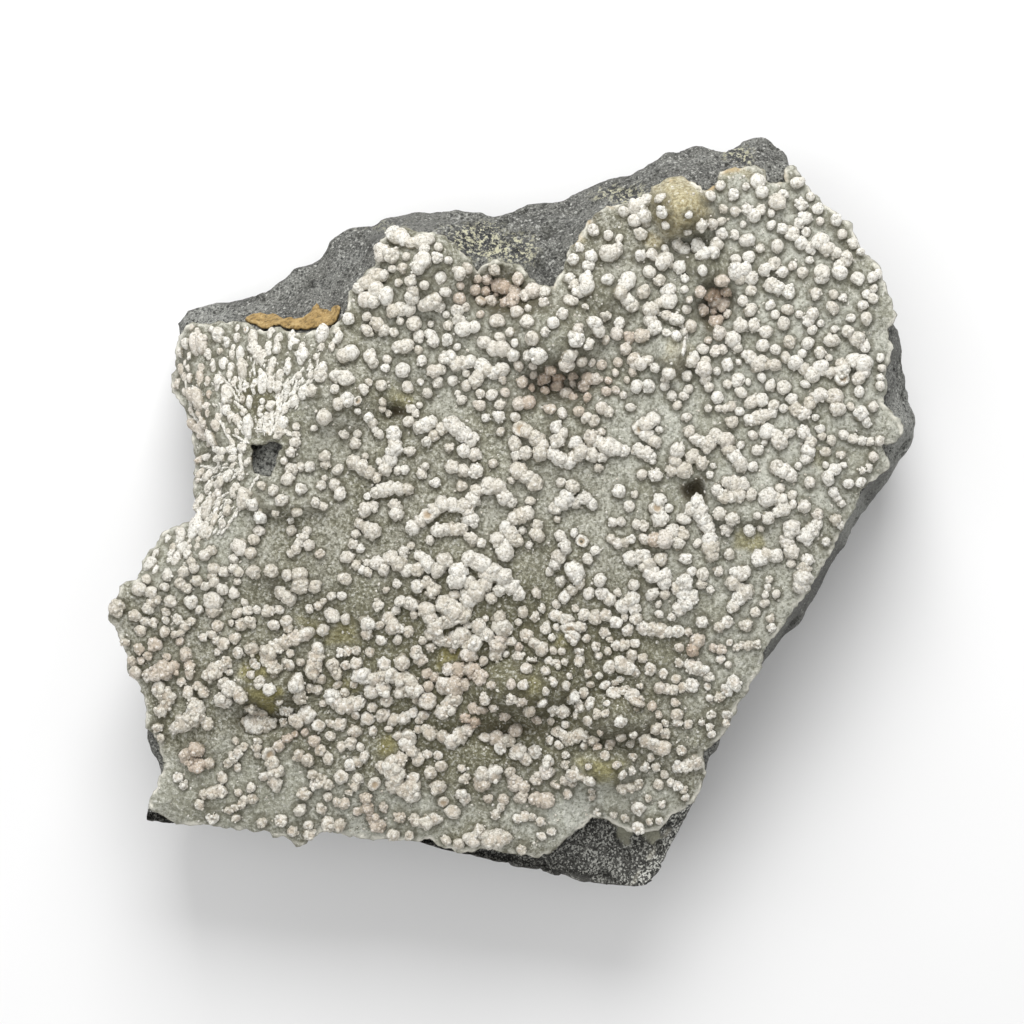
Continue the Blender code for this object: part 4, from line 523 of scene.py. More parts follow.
    ((27.2, 22.6),), ((28.8, 22.6),), ((30.3, 21.8),), ((26.3, 21), (26.9, 19.9)),
    ((29.9, 20.2),), ((35.8, 22.1),), ((35.3, 20.5),), ((36.7, 19.4),),
    ((24.2, 22.8), (24.7, 21.5)), ((24.2, 26.6), (24, 25.5)), ((23.2, 26.7),), ((25.5, 25.2),),
    ((22, 26.7),), ((24.9, 28.2),), ((28.4, 18.8), (29.4, 18), (31.3, 17.9)), ((32.6, 18.8),),
    ((20.8, 18.4), (21.6, 18.5)), ((23, 18.4), (22.8, 17.4)),
    ((33.7, 18.2), (34.8, 17.4), (35.8, 16.7)), ((36.8, 17.6),), ((38, 17),),
    ((39.3, 17.9), (39.3, 16.2)), ((40.8, 18.4), (41.9, 18), (42, 17), (41.3, 16.2)),
    ((23, 16.2), (23.4, 15.2)), ((30.8, 15.4),), ((32.4, 15.2),), ((-38, 20.2), (-37.2, 20.2)),
    ((-35.2, 21.3),), ((-38.7, 19),), ((-31, 20.8), (-31.1, 20)), ((-28.1, 20.8), (-28.2, 19.8)),
    ((-26.5, 21.2), (-26.4, 20.3)), ((-25.3, 19.9), (-25.2, 18.8)), ((-29.3, 19.8),),
    ((-30.6, 19.2), (-30, 18.7)), ((-22.8, 21.4),), ((-20.4, 18.9), (-19.5, 19.3)),
    ((-21.2, 16.3), (-20.2, 16)), ((-23, 16.4), (-22.8, 17.3)),
)

# Places where few balls grow: middle, half-width, half-height, share of balls kept
SPARSE = (
    (38.0, 18.5, 3.2, 3.6, 0.15),
    (1.8, -8.5, 3.6, 4.2, 0.15),
    (-2.2, 0.8, 2.8, 2.2, 0.2),
    (-14.5, -15.5, 3.2, 1.4, 0.2),
    (-9.8, -16.2, 4.2, 1.6, 0.2),
    (-35.0, -33.5, 7.0, 3.2, 0.4),
    (-34.5, -29.5, 3.6, 1.8, 0.3),
    (20.3, 37.0, 3.6, 3.6, 0.12),
    (22.5, 29.8, 2.0, 2.2, 0.15),
    (5.2, 21.4, 2.6, 2.2, 0.3),
    (18.9, 19.3, 1.6, 2.4, 0.1),
    (10.4, 26.6, 2.4, 2.2, 0.2),
    (-30.7, 14.0, 1.6, 2.2, 0.0),
    (21.8, 2.8, 1.7, 1.7, 0.0),
    (-14.2, 12.2, 1.5, 1.5, 0.0),
    (10.5, 2.5, 2.4, 2.4, 0.4),
    (27.6, -5.8, 2.4, 2.2, 0.4),
    (16.6, -15.2, 3.0, 1.2, 0.1),
    (-30.8, -18.8, 2.2, 1.6, 0.2),
    (-30.6, -22.6, 2.6, 1.2, 0.1),
    (6.8, -36.2, 2.6, 2.2, 0.3),
    (-12.4, -36.2, 2.2, 1.6, 0.3),
    (6.0, -20.5, 1.8, 2.4, 0.4),
    (-4.5, -28.5, 2.2, 2.6, 0.3),
)

# Olive patches of the crust: place, half-width, half-height, strength
OLIVE_ZONES = (
    (-4.0, -20.0, 20.0, 14.0, 0.9),
    (3.5, -8.0, 7.0, 7.0, 0.55),
    (-13.0, -16.0, 8.0, 4.0, 0.5),
    (-34.0, -34.0, 11.0, 5.0, 0.5),
    (-22.0, -20.0, 12.0, 10.0, 0.4),
    (17.0, -16.0, 5.0, 3.0, 0.7),
    (18.0, 3.0, 5.0, 3.0, 0.4),
    (-14.0, 13.5, 5.0, 3.0, 0.4),
    (22.5, 29.8, 3.0, 3.0, 0.5),
    (5.0, 21.0, 5.0, 4.0, 0.2),
    (-30.7, 14.0, 2.6, 3.4, 1.0),
    (-39.5, -24.0, 5.0, 6.0, 0.35),
    (-24.5, -22.5, 6.0, 4.0, 0.3),
    (-7.5, -0.2, 2.2, 1.4, 0.4),
)

# Yellow-green stains
STAIN_ZONES = (
    (-20.8, -13.9, 2.4, 1.6, 0.6),
    (-31.2, -18.6, 2.6, 1.6, 0.9),
    (-30.2, -22.2, 2.8, 1.3, 0.9),
    (-29.0, -22.0, 1.5, 0.8, 1.0),
    (-14.6, -28.2, 2.0, 1.3, 0.7),
    (-7.0, -17.0, 2.8, 1.3, 0.9),
    (10.8, -30.9, 2.8, 1.5, 0.8),
    (28.6, -3.2, 1.3, 2.0, 0.6),
    (-23.4, -13.8, 2.2, 1.2, 0.6),
    (20.3, 37.0, 3.0, 2.6, 0.6),
    (6.4, -15.2, 1.4, 1.2, 0.5),
    (36.5, 7.0, 1.6, 1.6, 0.4),
    (2.0, -21.5, 2.0, 1.6, 0.4),
    (-19.4, -20.8, 1.8, 1.0, 0.6),
    (-13.9, 14.0, 1.4, 1.2, 0.5),
)

# Paler, greyer stretches
PALE_ZONES = (
    (30.0, 14.0, 22.0, 22.0, 0.8),
    (29.0, 33.0, 12.0, 9.0, 0.9),
    (28.0, -10.0, 12.0, 18.0, 0.55),
    (8.0, 4.0, 16.0, 12.0, 0.25),
    (-15.0, -36.0, 12.0, 4.0, 0.7),
    (6.0, 20.0, 6.0, 5.0, 0.5),
    (8.0, -35.0, 12.0, 5.0, 1.0),
    (-32.0, -29.0, 6.0, 3.0, 0.4),
    (-32.0, 12.0, 12.0, 14.0, 0.35),
    (-38.0, -4.0, 8.0, 6.0, 0.6),
    (-6.0, 22.0, 13.0, 12.0, 0.45),
    (-34.0, -34.0, 14.0, 5.0, 0.95),
)

# Where the balls are stained tan
TAN_ZONES = (
    (-2.4, 26.6, 4.4, 3.0, 1.0),
    (5.6, 15.0, 6.5, 3.2, 0.85),
    (24.0, 24.6, 2.8, 4.0, 1.0),
    (12.5, 19.5, 3.0, 3.0, 0.5),
    (-2.0, -24.5, 6.0, 2.4, 0.8),
    (-37.5, -28.5, 3.0, 2.4, 0.8),
    (-26.0, -27.5, 2.5, 2.0, 0.6),
    (-5.0, -19.5, 6.0, 2.0, 0.55),
    (22.5, -16.0, 2.5, 1.8, 0.8),
    (10.9, -26.8, 2.0, 1.4, 0.8),
    (-17.0, -35.5, 4.5, 2.0, 0.45),
    (1.0, -33.2, 6.0, 1.6, 0.4),
    (-42.0, -17.0, 4.0, 3.0, 0.5),
    (17.6, -22.6, 3.5, 2.2, 0.4),
    (0.5, -14.6, 1.6, 1.2, 0.8),
    (16.6, -3.2, 2.0, 1.0, 0.6),
    (-38.0, 12.0, 3.0, 12.0, 0.3),
)

# Ochre stretches of the crust
OCHRE_ZONES = (
    (20.3, 37.2, 3.9, 3.9, 0.8),
    (16.6, 33.2, 2.0, 1.2, 0.7),
    (23.0, 38.6, 1.4, 1.0, 0.8),
    (27.0, 41.0, 3.4, 0.8, 0.45),
    (8.0, 33.0, 1.2, 1.8, 0.5),
    (20.0, 18.4, 1.6, 2.4, 0.35),
)

# Dark brown stretches deep in the hollows: painted shade, together with a brown stain there
DEEP_SHADE_AND_STAIN_ZONES = (
    (0.0, 25.8, 3.6, 2.6, 0.9),
    (24.2, 23.6, 2.0, 2.6, 0.9),
    (5.4, 15.2, 5.2, 2.0, 0.3),
    (22.0, 2.8, 1.5, 1.5, 0.9),
    (-14.2, 12.0, 1.4, 1.3, 0.9),
    (-8.8, 28.2, 0.9, 0.9, 0.9),
    (-29.0, -24.2, 3.6, 1.2, 0.5),
    (-1.0, -26.0, 5.0, 1.4, 0.5),
    (9.5, 35.8, 1.6, 0.7, 0.7),
)

# Holey stretches of the bare basalt
HOLEY_ZONES = (
    (-4.0, 33.0, 5.0, 2.2, 1.0),
    (0.5, 31.6, 2.0, 2.4, 0.9),
    (13.0, 38.8, 3.6, 1.1, 0.9),
    (26.5, 43.2, 2.0, 1.2, 0.9),
    (-16.4, 35.0, 3.0, 1.0, 0.3),
)

# The stretches of the crust by the value that they give it
CRUST_ZONES = {
    "pale": PALE_ZONES,
    "olive": OLIVE_ZONES,
    "stain": STAIN_ZONES,
    "ochre": OCHRE_ZONES,
    "deep": DEEP_SHADE_AND_STAIN_ZONES,
}

# Bare basalt that is worn paler
WORN_ZONES = (
    (46.5, 9.0, 2.6, 9.0, 1.0),
    (41.5, -1.5, 2.4, 5.0, 0.8),
    (-37.0, 24.2, 3.5, 1.4, 0.8),
    (-30.0, 6.5, 2.4, 2.6, 0.95),
)

# Where small balls crowd between the others
CROWDED_ZONES = (
    (-2.4, 26.6, 6.0, 4.0, 1.0),
    (5.6, 14.5, 9.0, 5.0, 1.0),
    (24.5, 22.5, 3.5, 7.0, 1.0),
    (12.0, -20.0, 13.0, 12.0, 0.8),
    (-5.0, -17.0, 12.0, 10.0, 0.6),
    (-10.0, 28.0, 8.0, 8.0, 0.9),
    (31.0, 34.0, 9.0, 8.0, 0.6),
    (32.0, 12.0, 13.0, 14.0, 0.4),
    (-40.0, -12.0, 8.0, 9.0, 0.5),
    (-20.0, -25.0, 14.0, 8.0, 0.45),
)

# Thin films of crust on the bare basalt at the lower right, and the ridge beside them
FILM_OUTLINES = (
    ((12.2, -37.2), (14.6, -38.0), (13.8, -40.2), (12.7, -39.2)),
    ((15.5, -38.0), (17.4, -38.0), (17.8, -39.1), (16.6, -39.8), (15.9, -39.0)),
)
CORNER_RIDGE = ((18.6, -37.9), (17.7, -39.2), (14.3, -44.4))

# Thin white rims and ridges of the crust
RIM_LINES = (
    ((17.3, 24.0), (19.0, 23.9), (20.0, 23.0), (20.7, 21.5), (20.3, 19.0)),
    ((-32.0, 9.2), (-31.1, 10.1), (-28.0, 10.0), (-25.8, 9.4)),
    ((-32.0, 9.2), (-32.8, 7.2), (-32.6, 5.3), (-34.0, 4.1)),
    ((-39.4, 16.4), (-38.5, 12.1), (-36.6, 9.6), (-35.4, 7.8), (-35.2, 5.3)),
    ((-34.9, 13.0), (-35.1, 10.9), (-33.8, 8.7), (-33.7, 6.9)),
    ((-33.8, 12.1), (-32.3, 9.6)),
)


def linear(red, green, blue):
    """A colour as it is seen, in 0 to 255, as the shader's linear value."""
    return tuple((c / 255.0) ** 2.2 for c in (red, green, blue)) + (1.0,)


def path_distance(points, path, closed):
    """Distance of each point from a path of straight runs."""
    best = np.full(len(points), np.inf)
    ends = path[1:] + path[:1] if closed else path[1:]
    for (ax, ay), (bx, by) in zip(path, ends):
        run = np.array((bx - ax, by - ay))
        offset = points - (ax, ay)
        along = np.clip(offset @ run / (run @ run), 0.0, 1.0)
        best = np.minimum(best, np.hypot(*(offset - along[:, None] * run).T))
    return best


def inside(points, outline):
    """Whether each point lies inside a closed outline."""
    x, y = points.T
    result = np.zeros(len(points), dtype=bool)
    for (ax, ay), (bx, by) in zip(outline, outline[1:] + outline[:1]):
        if ay == by:
            continue
        crosses = (ay > y) != (by > y)
        result ^= crosses & (x < ax + (y - ay) * (bx - ax) / (by - ay))
    return result


def on_crust(points):
    """Whether each point lies on the crust, away from its bare spot."""
    return inside(points, CRUST_OUTLINE) & ~inside(points, CRUST_HOLE)


def left_of(points, path):
    """Distance of each point to the left of a path that runs downwards, below 0 to its right."""
    down = sorted(path, key=lambda place: place[1])
    edge = np.interp(points[:, 1], [y for x, y in down], [x for x, y in down])
    return np.where(points[:, 0] < edge, 1.0, -1.0) * path_distance(points, path, False)


def wave(points, size, octaves, seed):
    """Smooth seeded noise between about -1 and 1, its waves about this size."""
    return np.array([noise.fractal((x / size, y / size, seed), 0.9, 2.0, octaves)
                     for x, y in points])


def broad_height(points):
    """The face's large form: a flat top, the falling left flank and the leaning foot."""
    flank = np.maximum(left_of(points, RIDGE), 0.0)
    fall = FLANK_SLOPE * (np.hypot(flank, FLANK_ROUNDING) - FLANK_ROUNDING)
    foot = FOOT_SLOPE * np.maximum(FOOT_Y - points[:, 1], 0.0)
    return FACE_Z - fall - foot


def relief(points):
    """The face's ledge, lumps, hollows and waves."""
    step = np.clip(0.5 + left_of(points, LEDGE) / LEDGE_WIDTH, 0.0, 1.0)
    height = -LEDGE_DROP * step * step * (3.0 - 2.0 * step)
    for x, y, half_width, up, down, lump in LUMPS:
        dx = (points[:, 0] - x) / half_width
        dy = points[:, 1] - y
        dy = dy / np.where(dy > 0.0, up, down)
        height += lump * np.maximum(1.0 - dx * dx - dy * dy, 0.0) ** 1.1
    return height + RELIEF * wave(points, RELIEF_WAVE, 2, 3.7)


def face_height(points):
    """Height of the crust's upper surface, its edge rolled down a little."""
    edge = path_distance(points, CRUST_OUTLINE, True)
    return broad_height(points) + relief(points) - EDGE_ROLL * np.exp(-edge / EDGE_ROLL_WIDTH)


def core_height(points):
    """Height of the basalt under the crust: below every hollow of the face, equal at its edge."""
    reach = np.minimum(path_distance(points, CRUST_OUTLINE, True), CORE_REACH)
    low = relief(points)
    for step in range(CORE_BEARINGS):
        angle = step * math.tau / CORE_BEARINGS
        ring = np.column_stack((np.cos(angle) * reach, np.sin(angle) * reach))
        low = np.minimum(low, relief(points + ring))
    edge = path_distance(points, CRUST_OUTLINE, True)
    roll = EDGE_ROLL * np.exp(-edge / EDGE_ROLL_WIDTH)
    return broad_height(points) + low - roll - CRUST_THICKNESS - GAP


def bare_height(points):
    """Height of the basalt outside the crust: it breaks away from the crust's edge to the rim."""
    from_crust = path_distance(points, CRUST_OUTLINE, True)
    from_rim = path_distance(points, BASALT_OUTLINE, True)
    share = (from_crust / np.maximum(from_crust + from_rim, 0.001)) ** RIM_BEND
    bearing = np.degrees(np.arctan2(points[:, 1], points[:, 0]))
    rim = np.interp(bearing, [b for b, z in RIM_HEIGHTS], [z for b, z in RIM_HEIGHTS])
    rough = BASALT_ROUGHNESS * wave(points, BASALT_WAVE, 2, 8.2)
    rough *= np.minimum(from_crust / ROUGH_FROM, 1.0)
    return core_height(points) * (1.0 - share) + rim * share + rough


def lift(points, heights):
    """Places seen at the height of the face, moved to where they are at their own height."""
    size = 1.0 + (FACE_Z - heights) / VIEW_DISTANCE
    x = points[:, 0] * size - ORIGIN_X
    y = points[:, 1] * size - ORIGIN_Y
    return np.column_stack((x, y, heights))


def loop_edges(start, count):
    """Index pairs around a closed outline whose points stand in a row."""
    return [(start + i, start + (i + 1) % count) for i in range(count)]


def triangulate(points, edges):
    """Triangles over the points that keep the given edges, each counter-clockwise."""
    vectors = [Vector((float(x), float(y))) for x, y in points]
    result = delaunay_2d_cdt(vectors, edges, [], 0, 1e-5)
    places = np.array([tuple(v) for v in result[0]])
    triangles = []
    for a, b, c in result[2]:
        (ax, ay), (bx, by), (cx, cy) = places[a], places[b], places[c]
        turn = (bx - ax) * (cy - ay) - (by - ay) * (cx - ax)
        triangles.append((a, b, c) if turn > 0.0 else (a, c, b))
    return places, np.array(triangles)


def scattered(spacing, seed):
    """Points of a loosened triangular grid over the whole slab."""
    rng = random.Random(seed)
    points = []
    row_height = spacing * math.sqrt(0.75)
    stray = GRID_LOOSENESS * spacing
    for row in range(int(GRID_LENGTH / row_height)):
        for column in range(int(GRID_WIDTH / spacing)):
            x = GRID_LEFT + (column + 0.5 * (row % 2)) * spacing + rng.uniform(-stray, stray)
            y = GRID_FOOT + row * row_height + rng.uniform(-stray, stray)
            points.append((x, y))
    return np.array(points)


def clear_of(points, outlines, distance):
    """Which points keep this distance from every outline."""
    keep = np.ones(len(points), dtype=bool)
    for outline in outlines:
        keep &= path_distance(points, outline, True) > distance
    return keep


def chain_places(path):
    """Places of the balls along one chain, a little less than a ball apart."""
    places = [path[0]]
    for (ax, ay), (bx, by) in zip(path, path[1:]):
        length = math.hypot(bx - ax, by - ay)
        count = max(1, round(length / BALL_STEP))
        places += [(ax + (bx - ax) * i / count, ay + (by - ay) * i / count)
                   for i in range(1, count + 1)]
    return places


def kept_share(x, y):
    """Share of the balls that grow at a place."""
    share = 1.0
    for cx, cy, half_width, half_height, kept in SPARSE:
        if ((x - cx) / half_width) ** 2 + ((y - cy) / half_height) ** 2 < 1.0:
            share = min(share, kept)
    return share


class BallField:
    """Balls that have grown so far, sorted into cells so that neighbours are quickly found."""

    CELL = 2.6

    def __init__(self):
        self.balls = []
        self.cells = {}

    def near(self, x, y):
        column, row = int(x // self.CELL), int(y // self.CELL)
        for i in range(column - 1, column + 2):
            for j in range(row - 1, row + 2):
                yield from self.cells.get((i, j), ())

    def crowded(self, x, y, z, radius, group):
        """Whether a ball here would come too close to those that have grown."""
        for ox, oy, oz, size, other in self.near(x, y):
            least = (GROUP_SPACE if other == group else BALL_SPACE) * (radius + size)
            if (x - ox) ** 2 + (y - oy) ** 2 + (z - oz) ** 2 < least * least:
                return True
        return False

    def add(self, x, y, z, radius, group):
        ball = (x, y, z, radius, group)
        self.balls.append(ball)
        self.cells.setdefault((int(x // self.CELL), int(y // self.CELL)), []).append(ball)


def wandering_groups(rng):
    """Seeded groups of one to five balls in a row, each ball as (x, y, radius)."""
    low, high = BALL_RADIUS
    groups = []
    for _ in range(BALL_ATTEMPTS):
        x = rng.uniform(*GROWING_X)
        y = rng.uniform(*GROWING_Y)
        radius = low + (high - low) * rng.random() ** 1.2
        bearing = rng.uniform(0.0, math.tau)
        wanted = rng.random() < kept_share(x, y)
        group = []
        for _ in range(rng.choice(GROUP_SIZES)):
            group.append((x, y, radius))
            bearing += rng.uniform(-GROUP_TURN, GROUP_TURN)
            step = radius * rng.uniform(*GROUP_STEP)
            x += math.cos(bearing) * step
            y += math.sin(bearing) * step
            radius = min(high, max(low, radius * rng.uniform(*GROUP_GROWTH)))
        if wanted:
            groups.append(group)
    return groups


def flank_groups(rng):
    """Seeded short rows of small balls that run up and down the left flank."""
    groups = []
    for _ in range(FLANK_ATTEMPTS):
        x = rng.uniform(*FLANK_X)
        y = rng.uniform(*FLANK_Y)
        radius = rng.uniform(*FLANK_RADIUS)
        lean = rng.uniform(*FLANK_LEAN)
        count = rng.choice(FLANK_SIZES)
        groups.append([(x + lean * radius * link, y + FLANK_STEP * radius * link, radius)
                       for link in range(count)])
    starts = np.array([group[0][:2] for group in groups])
    return [group for group, left in zip(groups, left_of(starts, RIDGE)) if left > 0.0]


def grow_balls():
    """All the balls of the face as (x, y, z, radius, group): the chains, then seeded fills."""
    rng = random.Random(BALL_SEED)
    chains = [[(x, y, rng.uniform(*CHAIN_RADIUS)) for x, y in chain_places(path)]
              for path in CHAINS]
    groups = chains + wandering_groups(rng)
    flank = len(groups)
    groups += flank_groups(rng)
    spots = np.array([(x, y) for group in groups for x, y, radius in group])
    heights = face_height(spots)
    clear = on_crust(spots) & clear_of(spots, (CRUST_OUTLINE, CRUST_HOLE), BALL_EDGE_SPACE)
    field = BallField()
    index = 0
    for number, group in enumerate(groups):
        growing = len(field.balls) < (BALL_COUNT if number < flank else BALL_COUNT + FLANK_COUNT)
        for x, y, radius in group:
            z = float(heights[index])
            growing = growing and clear[index]
            index += 1
            if number >= len(chains):
                growing = growing and not field.crowded(x, y, z, radius, number)
            if growing:
                field.add(x, y, z, radius, number)
    return field.balls


def face_normals(spots):
    """Outward direction of the face at each place."""
    step = NORMAL_STEP
    east, west, north, south = (face_height(spots + shift) for shift in
                                ((step, 0.0), (-step, 0.0), (0.0, step), (0.0, -step)))
    normals = [Vector((float(w - e), float(s - n), 2.0 * step))
               for e, w, n, s in zip(east, west, north, south)]
    return [normal.normalized() for normal in normals]


def seen_from_above(points):
    """Places in the slab's frame, in millimetres, as they are seen at the height of the face."""
    size = 1.0 + (FACE_Z - points[:, 2]) / VIEW_DISTANCE
    return np.column_stack(((points[:, 0] + ORIGIN_X) / size, (points[:, 1] + ORIGIN_Y) / size))


def smooth_step(values, low, high):
    """0 below low and 1 above high, with a smooth rise between; low may be the larger."""
    share = np.clip((values - low) / (high - low), 0.0, 1.0)
    return share * share * (3.0 - 2.0 * share)


def wave_3d(points, size, octaves, seed):
    """Smooth seeded noise in space, between about -1 and 1, its waves about this size."""
    shift = Vector((seed, -seed, 0.5 * seed))
    return np.array([noise.fractal(Vector(p) / size + shift, 0.9, 2.0, octaves) for p in points])


def zone_strength(points, zones):
    """How strongly each seen place belongs to the zones, whose edges wander."""
    height, size, octaves = ZONE_WANDER
    bent = points + height * np.column_stack([wave(points, size, octaves, seed)
                                              for seed in (21.0, 33.0)])
    strength = np.zeros(len(points))
    for x, y, half_width, half_height, most in zones:
        away = ((bent[:, 0] - x) / half_width) ** 2 + ((bent[:, 1] - y) / half_height) ** 2
        strength = np.maximum(strength, most * smooth_step(away, 1.6, 0.1))
    return strength


def search_tree(points):
    """A tree that finds the nearest of these points of two or three coordinates."""
    tree = KDTree(len(points))
    for index, point in enumerate(points):
        tree.insert((*point, 0.0)[:3], index)
    tree.balance()
    return tree


def add_object(name, data):
    """A new object in the scene with this mesh, light or camera."""
    made = bpy.data.objects.new(name, data)
    bpy.context.scene.collection.objects.link(made)
    return made


def make_piece(name, points, triangles, material, attributes):
    """A smooth-shaded mesh from points in millimetres, with a value at each point by name."""
    mesh = bpy.data.meshes.new(name)
    mesh.vertices.add(len(points))
    mesh.vertices.foreach_set("co", (points * MM).astype(np.float32).ravel())
    mesh.loops.add(len(triangles) * 3)
    mesh.loops.foreach_set("vertex_index", triangles.astype(np.int32).ravel())
    mesh.polygons.add(len(triangles))
    starts = np.arange(0, len(triangles) * 3, 3, dtype=np.int32)
    mesh.polygons.foreach_set("loop_start", starts)
    mesh.update(calc_edges=True)
    for key, values in attributes.items():
        layer = mesh.attributes.new(key, "FLOAT", "POINT")
        layer.data.foreach_set("value", values.astype(np.float32))
    mesh.shade_smooth()
    mesh.materials.append(material)
    piece = add_object(name, mesh)
    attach(piece, "root")
    return piece


# Materials

class Shader:
    """A Principled material and short ways to add nodes in front of it."""

    def __init__(self, name, roughness):
        self.material = bpy.data.materials.new(name)
        self.material.use_nodes = True
        self.tree = self.material.node_tree
        self.surface = self.tree.nodes["Principled BSDF"]
        self.surface.inputs["Roughness"].default_value = roughness
        self.place = self.tree.nodes.new("ShaderNodeTexCoord").outputs["Object"]
        self.base = None

    def node(self, kind, settings, inputs):
        """A new node with these settings, its inputs given as values or as sockets to link."""
        made = self.tree.nodes.new(kind)
        for key, value in settings.items():
            setattr(made, key, value)
        for key, value in inputs.items():
            if isinstance(value, bpy.types.NodeSocket):
                self.tree.links.new(value, made.inputs[key])
            else:
                made.inputs[key].default_value = value
        return made

    def attribute(self, name):
        return self.node("ShaderNodeAttribute", {"attribute_name": name}, {}).outputs["Fac"]

    def grain(self, size, detail=3.0, roughness=0.55):
        """Noise whose spots are about this many millimetres across."""
        inputs = {"Vector": self.place, "Scale": 1.0 / (size * MM), "Detail": detail,
                  "Roughness": roughness}
        return self.node("ShaderNodeTexNoise", {}, inputs).outputs["Fac"]

    def cells(self, size, output="Color"):
        """A random value for each little crystal of about this size, or another output."""
        inputs = {"Vector": self.place, "Scale": 1.0 / (size * MM)}
        return self.node("ShaderNodeTexVoronoi", {}, inputs).outputs[output]

    def drawn_out(self, height):
        """The place with its height scaled, so that sloping ground is grained evenly from above."""
        return self.node("ShaderNodeVectorMath", {"operation": "MULTIPLY"},
                         {0: self.place, 1: (1.0, 1.0, height)}).outputs[0]

    def span(self, value, low, high, to_low=0.0, to_high=1.0):
        """The value's stretch between low and high, mapped to another stretch and clamped."""
        inputs = {"Value": value, "From Min": low, "From Max": high, "To Min": to_low,
                  "To Max": to_high}
        return self.node("ShaderNodeMapRange", {}, inputs).outputs["Result"]

    def mix(self, factor, first, second):
        """A blend of two colours."""
        made = self.node("ShaderNodeMix", {"data_type": "RGBA"}, {})
        for index, value in ((0, factor), (6, first), (7, second)):
            if isinstance(value, bpy.types.NodeSocket):
                self.tree.links.new(value, made.inputs[index])
            else:
                made.inputs[index].default_value = value
        return made.outputs[2]

    def ground(self, factor, first, second):
        """Paints a blend of two colours under all the others."""
        self.base = self.mix(factor, first, second)

    def paint(self, factor, tint):
        """Lays a colour over what is painted so far."""
        self.base = self.mix(factor, self.base, tint)

    def times(self, first, second):
        return self.node("ShaderNodeMath", {"operation": "MULTIPLY"},
                         {0: first, 1: second}).outputs[0]

    def plus(self, first, second):
        return self.node("ShaderNodeMath", {"operation": "ADD"}, {0: first, 1: second}).outputs[0]

    def colour(self):
        """Gives the surface what is painted."""
        self.tree.links.new(self.base, self.surface.inputs["Base Color"])

    def bump(self, height, distance, strength=1.0):
        """Raises the surface by up to this many millimetres."""
        inputs = {"Height": height, "Distance": distance * MM, "Strength": strength}
        made = self.node("ShaderNodeBump", {}, inputs)
        self.tree.links.new(made.outputs["Normal"], self.surface.inputs["Normal"])


def crust_material():
    """Sugary grey-green crust: tiny crystals, pale and olive stretches, stains, a pale edge, and
    painted shade deep in the hollows and around each ball's foot.
    """
    shader = Shader("mesolite_crust", 0.75)
    blotch = shader.grain(2.2, 4.0, 0.6)
    mottle = shader.grain(6.5, 3.0, 0.5)
    sugar = shader.grain(0.42, 3.0, 0.75)
    crystal = shader.cells(0.26)
    shader.ground(shader.span(blotch, 0.4, 0.6), linear(130, 128, 111), linear(163, 161, 147))
    shader.paint(shader.attribute("pale"), linear(190, 191, 180))
    shader.paint(shader.span(mottle, 0.48, 0.62, 0.0, 0.45), linear(124, 122, 99))
    shader.paint(shader.attribute("olive"), linear(112, 109, 83))
    speck = shader.mix(shader.attribute("pale"), linear(76, 74, 56), linear(120, 119, 104))
    shader.paint(shader.span(sugar, 0.49, 0.38, 0.0, 0.75), speck)
    shader.paint(shader.span(sugar, 0.53, 0.64, 0.0, 0.75), linear(212, 211, 200))
    stained = shader.mix(shader.span(sugar, 0.4, 0.6), linear(118, 111, 66), linear(162, 155, 104))
    shader.paint(shader.attribute("stain"), stained)
    ochre = shader.mix(shader.span(sugar, 0.4, 0.6), linear(150, 136, 98), linear(200, 190, 156))
    shader.paint(shader.attribute("ochre"), ochre)
    # Painted shade deep in the hollows, together with a brown stain there
    shader.paint(shader.attribute("deep"), linear(74, 66, 46))
    shader.paint(shader.span(crystal, 0.78, 0.95, 0.0, 0.5), linear(232, 231, 224))
    shader.paint(shader.span(crystal, 0.25, 0.1, 0.0, 0.5), speck)
    # Painted shade: a dark ring on the crust around each ball's foot
    shader.paint(shader.attribute("foot"), linear(80, 76, 57))
    shader.paint(shader.attribute("wall"), linear(120, 113, 90))
    rim = shader.mix(shader.attribute("rust"), linear(232, 229, 216), linear(178, 148, 96))
    shader.paint(shader.attribute("edge"), rim)
    shader.colour()
    shader.bump(shader.plus(sugar, shader.times(crystal, 0.4)), 0.34, 1.0)
    return shader.material


def ball_material():
    """Matte crumbly white: each ball has its own tint, often a duller top of painted shade,
    and painted shade low on its sides and, in part, in the low spots of its crumbly grain.
    """
    shader = Shader("mesolite_ball", 0.85)
    crumb = shader.grain(0.36, 3.0, 0.75)
    fine = shader.cells(0.24)
    rise = shader.attribute("rise")
    shader.ground(shader.attribute("tone"), linear(208, 202, 188), linear(234, 232, 224))
    shader.paint(shader.attribute("tan"), linear(182, 158, 136))
    # Painted shade: a duller middle on the top of each ball, most on the discs
    shader.paint(shader.attribute("top"), linear(186, 170, 150))
    # Painted shade low on each ball's sides and underside, and in the creases between balls
    shader.paint(shader.span(rise, 0.5, 0.1, 0.0, 0.9), linear(122, 114, 91))
    # Grey mottles in the low spots of the crumbly grain, in part painted shade
    shader.paint(shader.span(crumb, 0.48, 0.38, 0.0, 0.7), linear(148, 141, 126))
    shader.paint(shader.span(fine, 0.72, 0.92, 0.0, 0.45), linear(156, 149, 134))
    shader.paint(shader.span(crumb, 0.55, 0.63, 0.0, 0.7), linear(244, 243, 239))
    shader.paint(shader.attribute("cut"), linear(176, 158, 134))
    shader.colour()
    shader.bump(shader.plus(crumb, shader.times(fine, 0.25)), 0.26, 1.0)
    return shader.material


